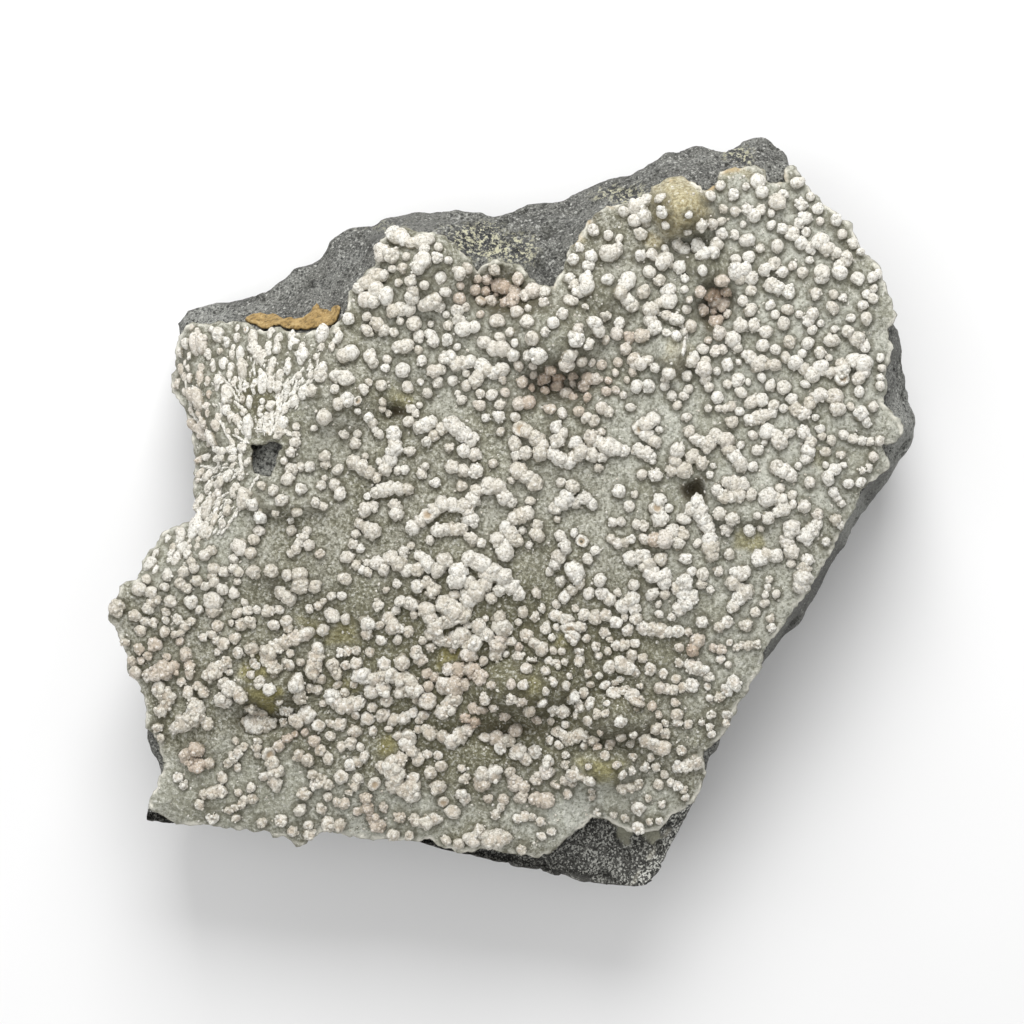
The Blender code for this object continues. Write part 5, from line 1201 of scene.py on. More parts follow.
def basalt_material():
    """Dark fine-grained rock, salt-and-pepper, with pale yellow-green linings where it is holey,
    and painted shade in its gas pits.
    """
    shader = Shader("basalt", 0.9)
    broad = shader.grain(5.0, 4.0, 0.6)
    wall_salt = shader.grain(0.25, 2.0, 0.7)
    wall_crystal = shader.cells(0.3)
    shader.place = shader.drawn_out(0.4)
    flat = shader.attribute("flat")
    salt = shader.mix(flat, wall_salt, shader.grain(0.25, 2.0, 0.7))
    crystal = shader.mix(flat, wall_crystal, shader.cells(0.3))
    coarse = shader.cells(0.19)
    dots = shader.cells(0.75, "Distance")
    some = shader.cells(0.75)
    holes = shader.grain(0.55, 4.0, 0.75)
    corner = shader.attribute("corner")
    worn = shader.attribute("worn")
    shader.ground(shader.span(broad, 0.35, 0.65), linear(82, 82, 79), linear(108, 108, 103))
    shader.paint(worn, linear(140, 141, 136))
    shader.paint(shader.span(salt, 0.48, 0.36, 0.0, 0.9), linear(44, 44, 42))
    light = shader.mix(worn, linear(172, 172, 166), linear(186, 186, 180))
    shader.paint(shader.span(salt, 0.56, 0.68, 0.0, 0.8), light)
    shader.paint(shader.span(crystal, 0.8, 0.9, 0.0, 0.6), linear(196, 196, 190))
    shader.paint(shader.span(crystal, 0.2, 0.1, 0.0, 0.8), linear(34, 34, 32))
    bright = shader.span(coarse, 0.62, 0.7, 0.0, 0.9)
    shader.paint(shader.times(corner, bright), linear(214, 214, 206))
    dull = shader.span(coarse, 0.31, 0.23, 0.0, 0.85)
    shader.paint(shader.times(corner, dull), linear(36, 36, 34))
    dot = shader.times(shader.span(dots, 0.36, 0.24, 0.0, 0.85), shader.span(some, 0.45, 0.55))
    shader.paint(shader.times(dot, flat), linear(52, 52, 49))
    # Painted shade in the gas pits
    shader.paint(shader.attribute("pit"), linear(48, 48, 42))
    shader.paint(shader.attribute("facet"), linear(58, 57, 54))
    shader.paint(shader.attribute("ridge"), linear(160, 156, 142))
    shader.paint(shader.attribute("film"), linear(152, 151, 134))
    holey = shader.attribute("holey")
    dark = shader.times(holey, shader.span(holes, 0.52, 0.45, 0.0, 0.9))
    shader.paint(dark, linear(40, 41, 44))
    lining = shader.times(holey, shader.span(holes, 0.52, 0.57, 0.0, 0.9))
    shader.paint(lining, linear(196, 193, 164))
    shader.colour()
    shader.bump(shader.plus(salt, shader.times(crystal, 0.3)), 0.3, 1.0)
    return shader.material


def clay_material():
    """Dull crumbly ochre, darker with painted shade in its little holes."""
    shader = Shader("ochre_clay", 0.95)
    crumb = shader.grain(0.6, 4.0, 0.7)
    blotch = shader.grain(2.0, 3.0)
    shader.ground(shader.span(blotch, 0.35, 0.65), linear(142, 115, 68), linear(174, 147, 98))
    # Painted shade in the crumbs' low spots, the little holes
    shader.paint(shader.span(crumb, 0.5, 0.38, 0.0, 0.8), linear(96, 80, 50))
    shader.paint(shader.span(crumb, 0.56, 0.68, 0.0, 0.5), linear(212, 192, 148))
    shader.colour()
    shader.bump(crumb, 0.35, 1.0)
    return shader.material


def floor_material():
    """Plain pale paper."""
    shader = Shader("floor", 0.9)
    tint = shader.span(shader.grain(60.0, 2.0), 0.3, 0.7)
    shader.ground(tint, (0.78, 0.78, 0.78, 1.0), (0.82, 0.82, 0.82, 1.0))
    shader.colour()
    return shader.material


# Crust and clay

def fine_outline(outline, jag, seed, hole=False):
    """The outline broken up by noise, with the piece always to its left."""
    area = sum(ax * by - bx * ay for (ax, ay), (bx, by) in zip(outline, outline[1:] + outline[:1]))
    if (area < 0.0) != hole:
        outline = outline[::-1]
    points = []
    for (ax, ay), (bx, by) in zip(outline, outline[1:] + outline[:1]):
        count = max(1, round(math.hypot(bx - ax, by - ay) / EDGE_STEP))
        points += [(ax + (bx - ax) * i / count, ay + (by - ay) * i / count) for i in range(count)]
    points = np.array(points)
    points = 0.5 * points + 0.25 * (np.roll(points, 1, axis=0) + np.roll(points, -1, axis=0))
    points += outward_of(points) * (jag * wave(points, EDGE_JAG_SIZE, 3, seed))[:, None]
    return [tuple(p) for p in points]


def outward_of(points):
    """Direction away from the piece at each point of a loop that has the piece to its left."""
    along = np.roll(points, -1, axis=0) - np.roll(points, 1, axis=0)
    return np.column_stack((along[:, 1], -along[:, 0])) / np.hypot(*along.T)[:, None]


def filled(loops, spacing, seed):
    """The loops' points, then those of a loosened grid between them, and the triangles."""
    flat = []
    edges = []
    for loop in loops:
        edges += loop_edges(len(flat), len(loop))
        flat += loop
    tree = search_tree(flat)
    grid = scattered(spacing, seed)
    keep = inside(grid, loops[0])
    for hole in loops[1:]:
        keep &= ~inside(grid, hole)
    grid = [(x, y) for x, y in grid[keep] if tree.find((x, y, 0.0))[2] > 0.6 * spacing]
    places, triangles = triangulate(flat + grid, edges)
    middles = places[triangles].mean(axis=1)
    keep = inside(middles, loops[0])
    for hole in loops[1:]:
        keep &= ~inside(middles, hole)
    return places, triangles[keep]


def layer(loops, spacing, under_spacing, top_height, under_height):
    """A thin closed layer: a fine upper face, a ragged wall and a coarse underside.

    Gives its points in the slab's frame, its triangles, the places where the points are seen and
    how far down the wall each point is.
    """
    rough, size, octaves = RAGGED
    places, triangles = filled(loops, spacing, 11)
    low_places, low_triangles = filled(loops, under_spacing, 12)
    tops, lows = top_height(places), under_height(low_places)
    seen = [places, low_places]
    heights = [tops, lows]
    down = [np.zeros(len(places)), np.ones(len(low_places))]
    parts = [triangles, low_triangles[:, ::-1] + len(places)]
    total = len(places) + len(low_places)
    start = 0
    for loop in loops:
        ring = np.arange(start, start + len(loop))
        low_ring = ring + len(places)
        points, top, low = places[ring], tops[ring], lows[ring]
        outward = outward_of(points)
        for level, (share, reach) in enumerate(LAYER_WALL):
            ragged = 1.0 + rough * wave(points, size, octaves, 40.0 + 3.0 * level)
            seen.append(points + outward * (reach * ragged)[:, None])
            heights.append(top * (1.0 - share) + low * share)
            down.append(np.full(len(loop), share))
            lower = np.arange(total, total + len(loop))
            parts.append(band(ring, lower))
            ring = lower
            total += len(loop)
        parts.append(band(ring, low_ring))
        start += len(loop)
    seen = np.vstack(seen)
    return lift(seen, np.concatenate(heights)), np.vstack(parts), seen, np.concatenate(down)


def band(upper, lower):
    """The triangles between two rings of a wall, the piece to their left."""
    a, b = upper, np.roll(upper, -1)
    c, d = lower, np.roll(lower, -1)
    return np.vstack((np.column_stack((b, a, c)), np.column_stack((b, c, d))))


def make_crust(balls, material):
    """The crust with its sugary grain and small blisters, rising a little to each ball's foot."""
    loops = [fine_outline(CRUST_OUTLINE, EDGE_JAG, 5.5),
             fine_outline(CRUST_HOLE, EDGE_JAG, 8.1, hole=True)]
    tree = search_tree([ball[:2] for ball in balls])

    def nearest_ball(points):
        found = [tree.find((x, y, 0.0))[1:] for x, y in points]
        return (np.array([away for index, away in found]),
                np.array([balls[index][3] for index, away in found]))

    def top_height(points):
        height = face_height(points) + GRAIN * wave(points, GRAIN_SIZE, 3, 14.0)
        rng = np.random.default_rng(3)
        height += rng.uniform(-1.0, 1.0, len(points)) * GRAIN * GRAIN_JITTER
        away, radius = nearest_ball(points)
        height += FOOT_RISE * radius * np.maximum(FOOT_WIDTH - away / radius, 0.0) ** 2
        return height + blisters(points)

    def under_height(points):
        return core_height(points) + GAP - CRUST_SINK

    points, triangles, seen, down = layer(loops, CRUST_STEP, UNDER_STEP, top_height, under_height)
    x, y = seen.T
    away, radius = nearest_ball(seen)
    attributes = {name: zone_strength(seen, zones) for name, zones in CRUST_ZONES.items()}
    # Painted shade: how dark the crust is painted around each ball's foot
    attributes["foot"] = 0.6 * smooth_step(away / radius, FOOT_WIDTH, 1.05)
    attributes["wall"] = smooth_step(down, 0.1, 0.5)
    # A pale broken edge, in patches, nearly whole beside the bare corner
    by_corner = 0.3 * (smooth_step(y, -34.5, -36.0) * smooth_step(x, 6.0, 9.0))
    patchy = smooth_step(wave(seen, 1.6, 3, 90.0), -0.25 - by_corner, 0.25 - by_corner)
    edge = smooth_step(path_distance(seen, CRUST_OUTLINE, True), 0.4, 0.05)
    attributes["edge"] = edge * smooth_step(down, 0.3, 0.1) * patchy
    # Rust along the upper part of that edge
    rusty = smooth_step(wave(seen, 2.3, 3, 17.0), -0.3, 0.2)
    along = smooth_step(x, 2.0, 6.0) * smooth_step(x, 34.0, 31.0)
    attributes["rust"] = 0.85 * smooth_step(y, 26.0, 29.0) * along * rusty
    piece = make_piece("mesolite_crust_fine", points, triangles, material, attributes)
    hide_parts("mesolite_crust")


def blisters(points):
    """Height of small round swellings of the crust, balls that have hardly begun to grow."""
    rng = random.Random(SEEDS["blisters"])
    height = np.zeros(len(points))
    for _ in range(BLISTERS):
        x, y = rng.uniform(*FACE_X), rng.uniform(*FACE_Y)
        radius = rng.uniform(*BLISTER_RADIUS)
        rise = rng.uniform(*BLISTER_HEIGHT)
        away = ((points[:, 0] - x) ** 2 + (points[:, 1] - y) ** 2) / (radius * radius)
        height += rise * np.maximum(1.0 - away, 0.0)
    return height


def ground_height(points):
    """Height of the basalt's top, under the crust and where it is bare."""
    return np.where(on_crust(points), core_height(points), bare_height(points))


def make_clay(material):
    """The crumbly ochre seam on the basalt."""
    loops = [fine_outline(CLAY_OUTLINE, CLAY_JAG, 2.2)]
    crumb, size, octaves = CLAY_CRUMB

    def top_height(points):
        edge = path_distance(points, CLAY_OUTLINE, True)
        swell = 1.0 + CLAY_SWELL * wave(points, CLAY_WAVE, 1, 5.1)
        swell += crumb * wave(points, size, octaves, 9.9)
        return ground_height(points) + GAP + CLAY_THICKNESS * swell * smooth_step(edge, -0.5, 0.7)

    def under_height(points):
        return ground_height(points) - CLAY_SINK

    points, triangles, *_ = layer(loops, CLAY_STEP, CLAY_UNDER_STEP, top_height, under_height)
    piece = make_piece("ochre_clay_fine", points, triangles, material, {})
    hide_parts("ochre_clay_seam")


# Basalt

def even_net(mesh, voxel):
    """The skin around a mesh's closed solids, as one mesh of small even faces."""
    solid = add_object("solid", mesh)
    remesh = solid.modifiers.new("even", "REMESH")
    remesh.mode = "VOXEL"
    remesh.voxel_size = voxel * MM
    evaluated = solid.evaluated_get(bpy.context.evaluated_depsgraph_get())
    net = bpy.data.meshes.new_from_object(evaluated)
    bpy.data.objects.remove(solid)
    bpy.data.meshes.remove(mesh)
    return net


def net_arrays(mesh):
    """A mesh's points in millimetres, their normals, and its triangles; the mesh is removed."""
    mesh.calc_loop_triangles()
    points = np.empty(len(mesh.vertices) * 3, np.float32)
    normals = np.empty(len(mesh.vertices) * 3, np.float32)
    triangles = np.empty(len(mesh.loop_triangles) * 3, np.int32)
    mesh.vertices.foreach_get("co", points)
    mesh.vertices.foreach_get("normal", normals)
    mesh.loop_triangles.foreach_get("vertices", triangles)
    bpy.data.meshes.remove(mesh)
    return (points.reshape(-1, 3).astype(float) / MM, normals.reshape(-1, 3).astype(float),
            triangles.reshape(-1, 3))


def remeshed_basalt():
    """The basalt's solid with an even net of small faces, finer where it shows from above."""
    mesh = even_net(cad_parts["basalt_matrix"].data.copy(), BASALT_VOXEL)
    net = bmesh.new()
    net.from_mesh(mesh)
    centres = np.array([tuple(face.calc_center_median()) for face in net.faces]) / MM
    seen = seen_from_above(centres)
    from_crust = path_distance(seen, CRUST_OUTLINE, True)
    bare = ~on_crust(seen) | (from_crust < FINE_BESIDE)
    shows = bare & (centres[:, 2] > FINE_FROM) & inside(seen, BASALT_OUTLINE)
    edges = {edge for face, chosen in zip(net.faces, shows) if chosen for edge in face.edges}
    bmesh.ops.subdivide_edges(net, edges=list(edges), cuts=1, use_grid_fill=True)
    net.to_mesh(mesh)
    net.free()
    return net_arrays(mesh)


def add_pits(points, normals, share):
    """Round gas pits pressed into the rock; gives the new points and how deep in a pit they are."""
    rng = random.Random(SEEDS["pits"])
    tree = search_tree(points)
    pit = np.zeros(len(points))
    push = np.zeros(len(points))
    able = np.flatnonzero(share > 0.6)
    for _ in range(PITS):
        middle = points[able[rng.randrange(len(able))]]
        radius = PIT_RADIUS[0] + (PIT_RADIUS[1] - PIT_RADIUS[0]) * rng.random() ** 3.0
        for _, index, away in tree.find_range(middle, radius):
            inner = 1.0 - (away / radius) ** 2
            push[index] = max(push[index], PIT_DEPTH * radius * math.sqrt(inner))
            pit[index] = max(pit[index], inner)
    return points - normals * (push * share)[:, None], pit * share


def scallops(points, size, seed):
    """Distance to the nearest of a set of scattered places: shallow shells between sharp ridges."""
    shift = Vector((seed, seed, seed))
    return np.array([noise.voronoi(Vector(p) / size + shift)[0][0] for p in points])


def make_basalt(material):
    """The rock: broken faces, fine relief and gas pits, nearly flat where it rests."""
    points, normals, triangles = remeshed_basalt()
    seen = seen_from_above(points)
    upward = normals[:, 2]
    under_crust = on_crust(seen) & (upward > 0.2) & (points[:, 2] > BARE_FROM)
    from_crust = path_distance(seen, CRUST_OUTLINE, True)
    open_share = np.where(under_crust, 0.0, smooth_step(from_crust, 0.1, 1.2))
    open_share = np.where(points[:, 2] < BARE_FROM, 1.0, open_share)
    from_clay = np.where(inside(seen, CLAY_OUTLINE), 0.0, path_distance(seen, CLAY_OUTLINE, True))
    open_share *= smooth_step(from_clay, 0.2, 2.0)
    lifted = smooth_step(points[:, 2], 0.1, 1.6)
    wall = smooth_step(upward, 0.75, 0.35)
    height = np.zeros(len(points))
    for amount, size, octaves in BASALT_RELIEF:
        height += amount * wave_3d(points, size, octaves, 3.0 + size)
    height += wall * SCALLOP_DEPTH * (scallops(points * (1.0, 1.0, 0.8), SCALLOP_SIZE, 4.0) - 0.5)
    holey = zone_strength(seen, HOLEY_ZONES) * (upward > 0.0)
    amount, size, octaves = HOLEY_RELIEF
    height += holey * amount * wave_3d(points, size, octaves, 61.0)
    points = points + normals * (height * open_share * lifted)[:, None]
    past_ridge = np.where(seen[:, 1] < -36.0, left_of(seen, CORNER_RIDGE), 0.0)
    fall = np.clip(CORNER_FALL * past_ridge, 0.0, CORNER_DEPTH)
    points[:, 2] -= fall * smooth_step(upward, 0.3, 0.7)
    points, pit = add_pits(points, normals, open_share * lifted)
    below = (lifted < 0.5) & (upward < -0.7)
    size, least, amount = UNDER_HOLLOWS
    hollow = np.maximum(wave_3d(points, size, 3, 50.0) - least, 0.0) * amount
    points[:, 2] = np.where(below, hollow, np.maximum(points[:, 2], 0.0))
    worn = 0.5 * smooth_step(wave_3d(points, 5.0, 2, 70.0), -0.3, 0.4)
    worn = np.maximum(worn * smooth_step(upward, 0.1, 0.7), zone_strength(seen, WORN_ZONES))
    corner = smooth_step(seen[:, 1], -30.0, -33.0) * smooth_step(upward, 0.2, 0.5)
    near_ridge = smooth_step(path_distance(seen, CORNER_RIDGE, False), 0.4, 0.05)
    near_ridge *= 0.6 * smooth_step(wave(seen, 0.9, 2, 12.0), -0.3, 0.3)
    film = np.any([inside(seen, outline) for outline in FILM_OUTLINES], axis=0)
    attributes = {
        # Painted shade in the gas pits
        "pit": pit * 0.6,
        "holey": holey,
        "worn": worn * (1.0 - corner),
        "corner": corner,
        "film": 0.9 * film * (points[:, 2] > BARE_FROM),
        "flat": smooth_step(upward, 0.1, 0.4),
        "facet": 0.35 * smooth_step(past_ridge, 0.1, 0.5),
        "ridge": near_ridge * smooth_step(points[:, 2], 4.0, BARE_FROM),
    }
    piece = make_piece("basalt_matrix_fine", points, triangles, material, attributes)
    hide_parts("basalt_matrix")


# Balls

def ball_net(count):
    """Points over a unit ball, few of them on its hidden underside, and the ball's triangles."""
    golden = math.pi * (3.0 - math.sqrt(5.0))
    net = bmesh.new()
    for i in range(count):
        z = 1.0 - (1.0 - BALL_UNDERSIDE) * (i + 0.5) / count
        across = math.sqrt(1.0 - z * z)
        net.verts.new((across * math.cos(i * golden), across * math.sin(i * golden), z))
    for i in range(6):
        angle = i * math.tau / 6.0
        net.verts.new((0.5 * math.cos(angle), 0.5 * math.sin(angle), -0.87))
    net.verts.new((0.0, 0.0, -1.0))
    bmesh.ops.convex_hull(net, input=net.verts)
    net.verts.index_update()
    return taken_out(net)


def taken_out(net):
    """A net's points and triangles; the net is freed."""
    points = [v.co.copy() for v in net.verts]
    triangles = np.array([[v.index for v in face.verts] for face in net.faces])
    net.free()
    return points, triangles


def sphere_net(subdivisions):
    """The points and triangles of a plain small unit ball."""
    net = bmesh.new()
    bmesh.ops.create_icosphere(net, subdivisions=subdivisions, radius=1.0)
    return taken_out(net)


def lumpy(net, jitter, seed):
    """Several lumpy shapes of one net."""
    sphere, triangles = net
    rng = random.Random(seed)
    shapes = []
    for index in range(BALL_SHAPES):
        shift = Vector((7.3 * index, 1.7 * index, seed))
        swell = [1.0 + rng.uniform(-jitter, jitter)
                 + sum(height * noise.noise(p * size + shift) for height, size in BALL_LUMPS)
                 for p in sphere]
        shapes.append(np.array([tuple(p * s) for p, s in zip(sphere, swell)]))
    return shapes, triangles


class Gathered:
    """Small solids gathered into one mesh, with values at its points."""

    def __init__(self):
        self.points = []
        self.triangles = []
        self.values = {}
        self.count = 0

    def add(self, points, triangles, **values):
        """Adds one solid; a value may be the same for all its points."""
        self.points.append(points)
        self.triangles.append(triangles + self.count)
        self.count += len(points)
        for key, value in values.items():
            self.values.setdefault(key, []).append(value + np.zeros(len(points)))

    def piece(self, name, material):
        """The mesh of all the solids, which are mesolite."""
        values = {key: np.concatenate(parts) for key, parts in self.values.items()}
        points, triangles = np.vstack(self.points), np.vstack(self.triangles)
        make_piece(name, points, triangles, material, values)


def random_direction(rng):
    """Any direction in space, each as likely."""
    return Vector((rng.gauss(0, 1), rng.gauss(0, 1), rng.gauss(0, 1))).normalized()


def standing(up, rng):
    """A turn that stands a shape's own +Z on the given direction, spun at random."""
    spin = Matrix.Rotation(rng.uniform(0.0, math.tau), 3, "Z")
    return np.array((up.to_track_quat("Z", "X").to_matrix() @ spin).transposed())


def add_ball(parts, nets, spot, place, radius, normal, tan, kind, rng):
    """One ball: a crumbly body, at times broken open, with side lobes and little teeth.

    Lower on the face the balls are flatter, like thick discs whose duller middle is painted shade;
    on the steep left flank they are drawn out up and down the face, and high on the face they are
    rounder.
    """
    x, y = spot
    flank = kind == "flank"
    disc = float(smooth_step(y, *DISC_Y)) * rng.uniform(0.4, 1.0)
    radius *= BALL_SCALE[0] + (BALL_SCALE[1] - BALL_SCALE[0]) * float(smooth_step(y, 6.0, -10.0))
    low_right = float(smooth_step(x, -2.0, 6.0) * smooth_step(y, -6.0, -12.0))
    radius *= 1.0 + (RIGHT_SCALE - 1.0) * low_right
    radius *= rng.uniform(*BALL_SIZES[kind])
    stand = rng.uniform(*(FLANK_STAND if flank else BALL_STAND))
    middle = place + np.array(normal) * (radius * stand)
    up = (normal + (BALL_LEAN + DISC_LEAN * disc) * random_direction(rng)).normalized()
    drawn = np.eye(3)
    if flank:
        along = Vector((0.35 * (x - FLANK_CENTRE[0]), y - FLANK_CENTRE[1], 0.0)).normalized()
        along = np.array(along)
        drawn = np.eye(3) * 0.85 + np.outer(along, along) * rng.uniform(*FLANK_STRETCH)
    tone = BALL_TONE + TONE_RISE * (x + y) + FLANK_TONE * flank + rng.gauss(0.0, TONE_SPREAD)
    tan = tan * rng.uniform(*TAN_SHARE) + max(0.0, rng.gauss(*TAN_STRAY))
    values = {"tone": min(1.0, max(0.0, tone)), "tan": min(1.0, max(0.0, tan))}
    broken = rng.random() < BROKEN_SHARE
    cut_at = rng.uniform(*BROKEN_AT) if broken else math.inf
    shapes, triangles = nets["small" if kind == "small" else "body"]
    stretch = [rng.uniform(*BALL_STRETCH) for _ in range(3)]
    shape = shapes[rng.randrange(BALL_SHAPES)]
    calm = CALM * float(smooth_step(y, *CALM_Y))
    shape = shape * (1.0 - calm + calm / np.linalg.norm(shape, axis=1))[:, None] * stretch
    rise = shape[:, 2].copy()
    across = np.hypot(shape[:, 0], shape[:, 1])
    over = rise > cut_at
    if broken:
        shape[:, 2] = np.where(over, cut_at - 0.2 * smooth_step(across, 0.65, 0.3), rise)
    shape[:, 2] *= 1.0 - DISC_SQUASH * disc
    core = np.where(over, smooth_step(across, 0.6, 0.4), 0.0)
    # Painted shade: how much the middle of the ball's top is dulled
    top = smooth_step(across, 0.75, 0.45) * (rise > 0.0) * (0.15 + 0.55 * disc)
    # rise also sets the painted shade that darkens the ball low on its sides
    parts.add(middle + (shape @ standing(up, rng)) @ drawn * radius, triangles,
              rise=smooth_step(rise, -0.6, 0.9), cut=core, top=top, **values)
    if broken:
        return
    lobes, teeth = rng.choice(LOBES), rng.choice(TEETH)
    if kind == "small":
        lobes, teeth = 0, teeth // 2
    for detail, count, (low, high) in (("lobe", lobes, LOBE_SIZE), ("tooth", teeth, TOOTH_SIZE)):
        shapes, triangles = nets[detail]
        for _ in range(count):
            side = (normal * rng.uniform(-0.1, 0.7) + random_direction(rng)).normalized()
            size = radius * rng.uniform(low, high)
            reach = np.array(side) @ drawn * (radius - 0.4 * size)
            shape = shapes[rng.randrange(BALL_SHAPES)] @ standing(side, rng)
            # rise sets the painted shade of a lobe or tooth, more when it points down
            parts.add(middle + reach + shape * size, triangles,
                      rise=0.4 + 0.4 * (side @ normal), cut=0.0, top=0.0, **values)


def small_balls(balls):
    """Small balls crowded between the others, many of them beside a larger one."""
    rng = random.Random(SEEDS["small"])
    tries = []
    for _ in range(SMALL_TRIES):
        radius = rng.uniform(*SMALL_RADIUS)
        x, y = rng.uniform(*FACE_X), rng.uniform(*FACE_Y)
        if rng.random() < SMALL_BESIDE:
            beside = balls[rng.randrange(len(balls))]
            angle = rng.uniform(0.0, math.tau)
            x = beside[0] + (beside[3] + radius) * SMALL_AWAY * math.cos(angle)
            y = beside[1] + (beside[3] + radius) * SMALL_AWAY * math.sin(angle)
        tries.append((x, y, radius, rng.random()))
    tries = np.array(tries)
    spots = tries[:, :2]
    able = on_crust(spots) & clear_of(spots, (CRUST_OUTLINE, CRUST_HOLE), 0.5)
    able &= tries[:, 3] < SMALL_ANYWHERE + zone_strength(spots, CROWDED_ZONES)
    places = np.array([ball[:2] for ball in balls])
    radii = np.array([ball[3] for ball in balls])
    chosen = []
    for x, y, radius, _ in tries[able]:
        if len(chosen) == SMALL_COUNT:
            break
        away = np.hypot(places[:, 0] - x, places[:, 1] - y)
        if np.min(away - SMALL_SPACE * (radii + radius)) > 0.0:
            chosen.append((x, y, radius))
            places = np.vstack((places, (x, y)))
            radii = np.append(radii, radius)
    heights = face_height(np.array(chosen)[:, :2])
    return [(x, y, z, radius, SMALL_GROUP) for (x, y, radius), z in zip(chosen, heights)]


def make_balls(balls, material):
    """All the balls, in one mesh for each quarter of the face and one for the small ones."""
    nets = {
        "body": lumpy(ball_net(BALL_POINTS), BALL_JITTER, 1.0),
        "small": lumpy(ball_net(SMALL_POINTS), BALL_JITTER, 1.5),
        "lobe": lumpy(sphere_net(2), BALL_JITTER, 2.0),
        "tooth": lumpy(sphere_net(1), BALL_JITTER, 3.0),
    }
    spots = np.array([ball[:2] for ball in balls])
    tan_share = zone_strength(spots, TAN_ZONES)
    flanks = (left_of(spots, RIDGE) > 0.0) & (spots[:, 1] > FLANK_Y[0])
    places = lift(spots, np.array([ball[2] for ball in balls]))
    normals = face_normals(spots)
    rng = random.Random(SEEDS["balls"])
    quarters = {}
    for ball, place, normal, tan, flank in zip(balls, places, normals, tan_share, flanks):
        x, y, _, radius, group = ball
        name = ("upper_" if y > 0.0 else "lower_") + ("right" if x > 0.0 else "left")
        if group == SMALL_GROUP:
            name = kind = "small"
        elif flank:
            kind = "flank"
        else:
            kind = "linked" if group < len(CHAINS) and len(CHAINS[group]) > 1 else "single"
        parts = quarters.setdefault(name, Gathered())
        add_ball(parts, nets, (x, y), place, radius, normal, tan, kind, rng)
    for name in sorted(quarters):
        quarters[name].piece("mesolite_balls_" + name, material)


def make_streaks(material):
    """Thin white ridges that fan out over the flank from the bare patch, and the crust's rims."""
    shapes, triangles = lumpy(sphere_net(1), CRUMB_JITTER, 6.0)
    rng = random.Random(SEEDS["streaks"])
    centre_x, centre_y = FLANK_CENTRE
    spots = []
    for _ in range(STREAKS):
        fan = rng.choice(STREAK_FANS) if rng.random() < FAN_SHARE else (0.0, math.tau)
        angle = rng.uniform(*fan)
        bend = rng.gauss(0.0, STREAK_BEND)
        start = rng.uniform(*STREAK_START)
        length = rng.uniform(*STREAK_LENGTH)
        width = rng.uniform(*STREAK_WIDTH)
        for step in range(int(length / STREAK_STEP)):
            along = step * STREAK_STEP
            turned = angle + bend * along / length
            x = centre_x + (start + along) * math.cos(turned) + rng.gauss(0.0, STREAK_STRAY)
            y = centre_y + (start + along) * math.sin(turned) + rng.gauss(0.0, STREAK_STRAY)
            spots.append((x, y, turned, width * rng.uniform(0.7, 1.3)))
    spots = np.array(spots)
    able = on_crust(spots[:, :2]) & clear_of(spots[:, :2], (CRUST_OUTLINE, CRUST_HOLE), 0.2)
    able &= left_of(spots[:, :2], RIDGE) > 0.0
    bare_x, bare_y, half_width, half_height = BARE_SPOT
    x, y, *_ = spots.T
    able &= np.hypot((x - bare_x) / half_width, (y - bare_y) / half_height) > 1.0
    rims = []
    for line in RIM_LINES:
        for (ax, ay), (bx, by) in zip(line, line[1:]):
            turned = math.atan2(by - ay, bx - ax)
            count = round(math.hypot(bx - ax, by - ay) / STREAK_STEP)
            for i in range(count):
                x = ax + (bx - ax) * i / count + rng.gauss(0.0, RIM_STRAY)
                y = ay + (by - ay) * i / count + rng.gauss(0.0, RIM_STRAY)
                rims.append((x, y, turned, STREAK_WIDTH[1] * rng.uniform(*RIM_WIDTH)))
    spots = np.vstack((spots[able], rims))
    parts = Gathered()
    places = lift(spots[:, :2], face_height(spots[:, :2]) + STREAK_RISE)
    for place, (_, _, turned, width) in zip(places, spots):
        along = np.array((math.cos(turned), math.sin(turned), 0.0))
        drawn = np.eye(3) + np.outer(along, along) * STREAK_DRAWN
        shape = shapes[rng.randrange(BALL_SHAPES)] @ standing(random_direction(rng), rng)
        parts.add(place + shape @ drawn * width, triangles, tone=rng.uniform(0.6, 1.0), rise=0.7)
    parts.piece("mesolite_streaks", material)


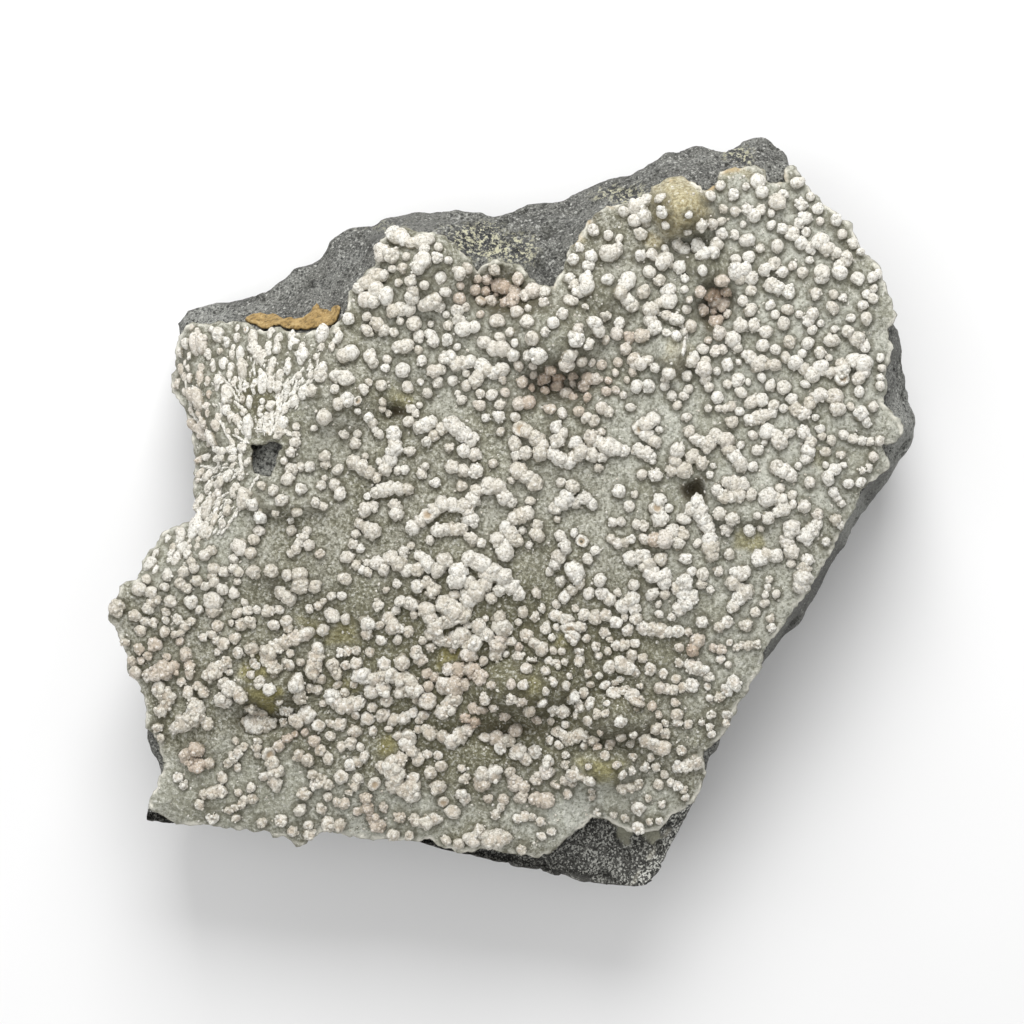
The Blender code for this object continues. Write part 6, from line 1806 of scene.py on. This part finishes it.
def make_specks(material):
    """Tiny crumbs of mesolite strewn over the crust."""
    shapes, triangles = lumpy(sphere_net(1), CRUMB_JITTER, 5.0)
    rng = random.Random(SEEDS["specks"])
    spots = np.array([(rng.uniform(*SPECK_X), rng.uniform(*SPECK_Y)) for _ in range(SPECKS)])
    spots = spots[on_crust(spots) & clear_of(spots, (CRUST_OUTLINE, CRUST_HOLE), 0.3)]
    parts = Gathered()
    for place in lift(spots, face_height(spots)):
        radius = SPECK_RADIUS[0] + (SPECK_RADIUS[1] - SPECK_RADIUS[0]) * rng.random() ** 2
        stretch = (1.0, rng.uniform(0.5, 1.0), 0.7)
        shape = shapes[rng.randrange(BALL_SHAPES)] * stretch
        shape = shape @ standing(random_direction(rng), rng)
        parts.add(place + shape * radius, triangles, tone=rng.uniform(0.0, 0.8), rise=0.6)
    parts.piece("mesolite_specks", material)


# Floor, lights and camera

def add_floor():
    """A wide pale floor at the height on which the slab lies."""
    mesh = bpy.data.meshes.new("floor")
    half = 0.5 * FLOOR_WIDTH * MM
    corners = [(-half, -half, 0.0), (half, -half, 0.0), (half, half, 0.0), (-half, half, 0.0)]
    mesh.from_pydata(corners, [], [(0, 1, 2, 3)])
    mesh.materials.append(floor_material())
    add_object("floor", mesh)


def add_light(name, place, width, power):
    """A square soft light that faces the slab."""
    data = bpy.data.lights.new(name, "AREA")
    data.size = width * MM
    data.energy = power
    light = add_object(name, data)
    light.location = Vector(place) * MM
    aim = Vector((0.0, 0.0, FACE_Z)) - Vector(place)
    light.rotation_euler = aim.to_track_quat("-Z", "Y").to_euler()


def add_camera():
    """The camera straight above the face, with the outlines' own point of view."""
    data = bpy.data.cameras.new("camera")
    data.sensor_width = SENSOR
    data.lens = SENSOR * VIEW_DISTANCE / VIEW_WIDTH
    data.clip_start = 0.01
    camera = add_object("camera", data)
    place = Vector((CAMERA_X - ORIGIN_X, CAMERA_Y - ORIGIN_Y, FACE_Z + VIEW_DISTANCE))
    camera.location = place * MM
    bpy.context.scene.camera = camera


def set_world():
    """An even white surround."""
    world = bpy.data.worlds.new("studio")
    world.use_nodes = True
    background = world.node_tree.nodes["Background"]
    background.inputs["Color"].default_value = (1.0, 1.0, 1.0, 1.0)
    background.inputs["Strength"].default_value = AMBIENT
    bpy.context.scene.world = world
    bpy.context.scene.view_settings.view_transform = "Standard"


def main():
    add_camera()
    set_world()
    add_floor()
    for name, place, width, power in LIGHTS:
        add_light(name, place, width, power)
    balls = grow_balls()
    balls += small_balls(balls)
    make_basalt(basalt_material())
    make_crust(balls, crust_material())
    make_clay(clay_material())
    ball = ball_material()
    make_balls(balls, ball)
    make_streaks(ball)
    make_specks(ball)


main()
